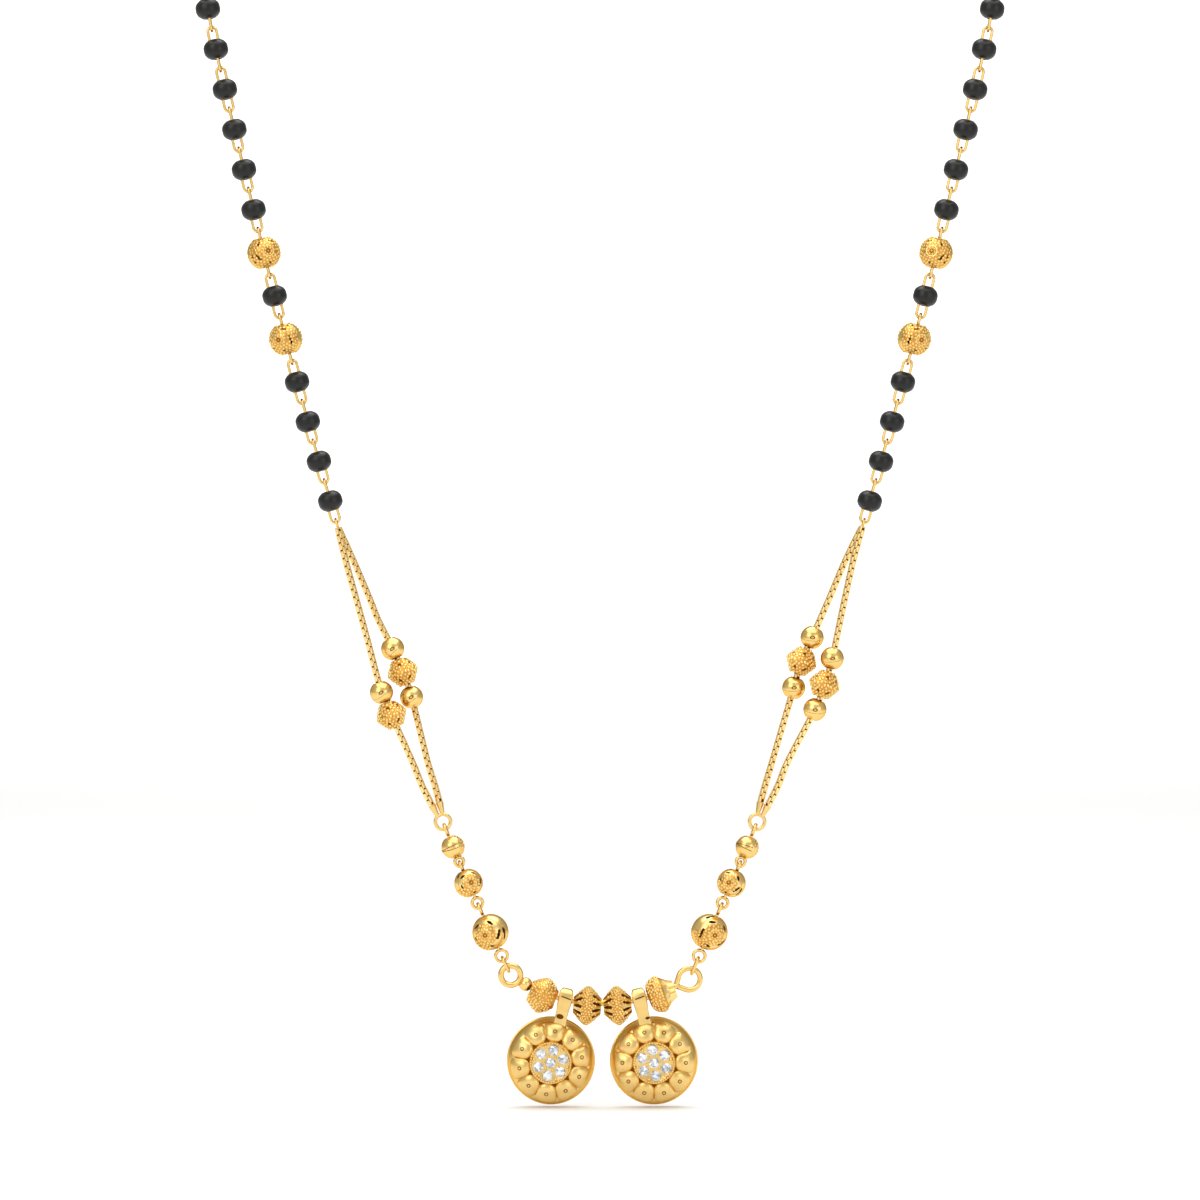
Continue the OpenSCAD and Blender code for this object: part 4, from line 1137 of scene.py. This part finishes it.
# How far along the bar each vati hangs, how far the cup's back is behind the wire, and how far its middle is
# below it
VATI_AT = 4.765
CUP_BACK, VATI_DROP = 2.5, 8.08
HANG = Matrix.Rotation(math.radians(-90), 4, "Y")
IN_CUP = Matrix.Translation((0, CUP_BACK, -VATI_DROP)) @ Matrix.Rotation(math.radians(90), 4, "X")
cup = vati_cup()
strap = strap_bail()
for side, sign in SIDES.items():
    hanging = on_bar(sign * VATI_AT, WIRE_ARC_R) @ HANG
    cup_here = put(copy_of(cup, f"cup_{side}"), hanging @ IN_CUP)
    strap_here = put(cut_marks(copy_of(strap, f"bail_{side}"), side, sign), hanging)
    whole = join(f"vati_cup_{side}", [cup_here, strap_here])
    smooth(whole, 40)
    settle(whole, None, "satin_gold", f"vati_{side}", f"vati_{side}")
bpy.data.objects.remove(cup)
bpy.data.objects.remove(strap)


# Camera, floor and light

def soft_light(name, place, target, size, power):
    """An even square lamp, turned to its target."""
    bpy.ops.object.light_add(type="AREA", location=place)
    light = bpy.context.object
    light.name = name
    light.data.size = size
    light.data.energy = power
    light.rotation_euler = (Vector(target) - Vector(place)).to_track_quat("-Z", "Y").to_euler()


# The photograph is 150 mm wide at the plane of the drops, and its middle is 116 mm below the nape
VIEW_W = 150 * MM
LENS = 150.0
SENSOR_W = 36.0
distance = LENS / SENSOR_W * VIEW_W
middle_z = -116 * MM
bpy.ops.object.camera_add(location=(0, FRONT * MM - distance, middle_z), rotation=(math.radians(90), 0, 0))
camera = bpy.context.object
camera.data.lens = LENS
camera.data.sensor_width = SENSOR_W
camera.data.clip_start = 0.01
camera.data.clip_end = 20
bpy.context.scene.camera = camera
bpy.context.scene.view_settings.view_transform = "Standard"

# Paper lies just under the cups and stands behind the necklace, so the whole picture is white
FLOOR_GAP = 0.2
WALL_BACK = 1.2
floor_z = cad_box[0][2] - FLOOR_GAP * MM
bpy.ops.mesh.primitive_plane_add(size=6, location=(0, 0, floor_z))
floor = bpy.context.object
floor.name = "pale_floor"
bpy.ops.mesh.primitive_plane_add(size=0.62, location=(0, WALL_BACK, middle_z),
                                 rotation=(math.radians(90), 0, 0))
wall = bpy.context.object
wall.name = "pale_wall"

PAPER_FIBRE = 3.0


def white_paper(name, low, high, glow):
    """Matt white paper with a faint fibre; the glow stands for the light that comes through it."""
    paper = new_material(name)
    place = add(paper, "TexCoord")
    fibre = add(paper, "TexNoise", {"Scale": pattern_scale(PAPER_FIBRE)}, {"Vector": place.outputs["Object"]})
    tone = add(paper, "MapRange", {"To Min": low, "To Max": high}, {"Value": fibre.outputs["Fac"]})
    shader = add(paper, "BsdfPrincipled", {"Roughness": 0.9, "Emission Strength": glow,
                                           "Emission Color": linear("#FFFFFF")},
                 {"Base Color": tone.outputs["Result"]})
    return finish_material(paper, shader)


dress(floor, white_paper("matt_white_floor_paper", 0.72, 0.76, 0.19))
dress(wall, white_paper("matt_white_wall_paper", 0.88, 0.92, 0.3))

# Lamps in metres and watts: a stronger one from the left, a weaker one from the right, a large one above
# and one for the paper behind
focus = (0, FRONT * MM, middle_z)
soft_light("key_left", (-0.45, -0.75, 0.25), focus, 0.5, 1.5)
soft_light("fill_right", (0.55, -0.7, 0.0), focus, 0.45, 0.7)
soft_light("top", (0, -0.12, 0.4), (0, -0.09, -0.17), 0.75, 2.6)
soft_light("backdrop", (0, 0.3, 1.0), (0, WALL_BACK, 0), 1.0, 7.5)

# The room is brighter behind the viewer than behind the necklace, so that rims turn a deeper gold
BEHIND_VIEWER, BEHIND_NECKLACE = 0.84, 0.42
world = bpy.context.scene.world or bpy.data.worlds.new("studio")
bpy.context.scene.world = world
world.use_nodes = True
room = world.node_tree.nodes["Background"]
room.inputs["Color"].default_value = linear("#F4F4F2")
direction = add(world, "TexCoord")
axes = add(world, "SeparateXYZ", {}, {"Vector": direction.outputs["Generated"]})
brightness = add(world, "MapRange", {"From Min": -1.0, "From Max": 1.0,
                                     "To Min": BEHIND_VIEWER, "To Max": BEHIND_NECKLACE},
                 {"Value": axes.outputs["Y"]})
world.node_tree.links.new(brightness.outputs["Result"], room.inputs["Strength"])
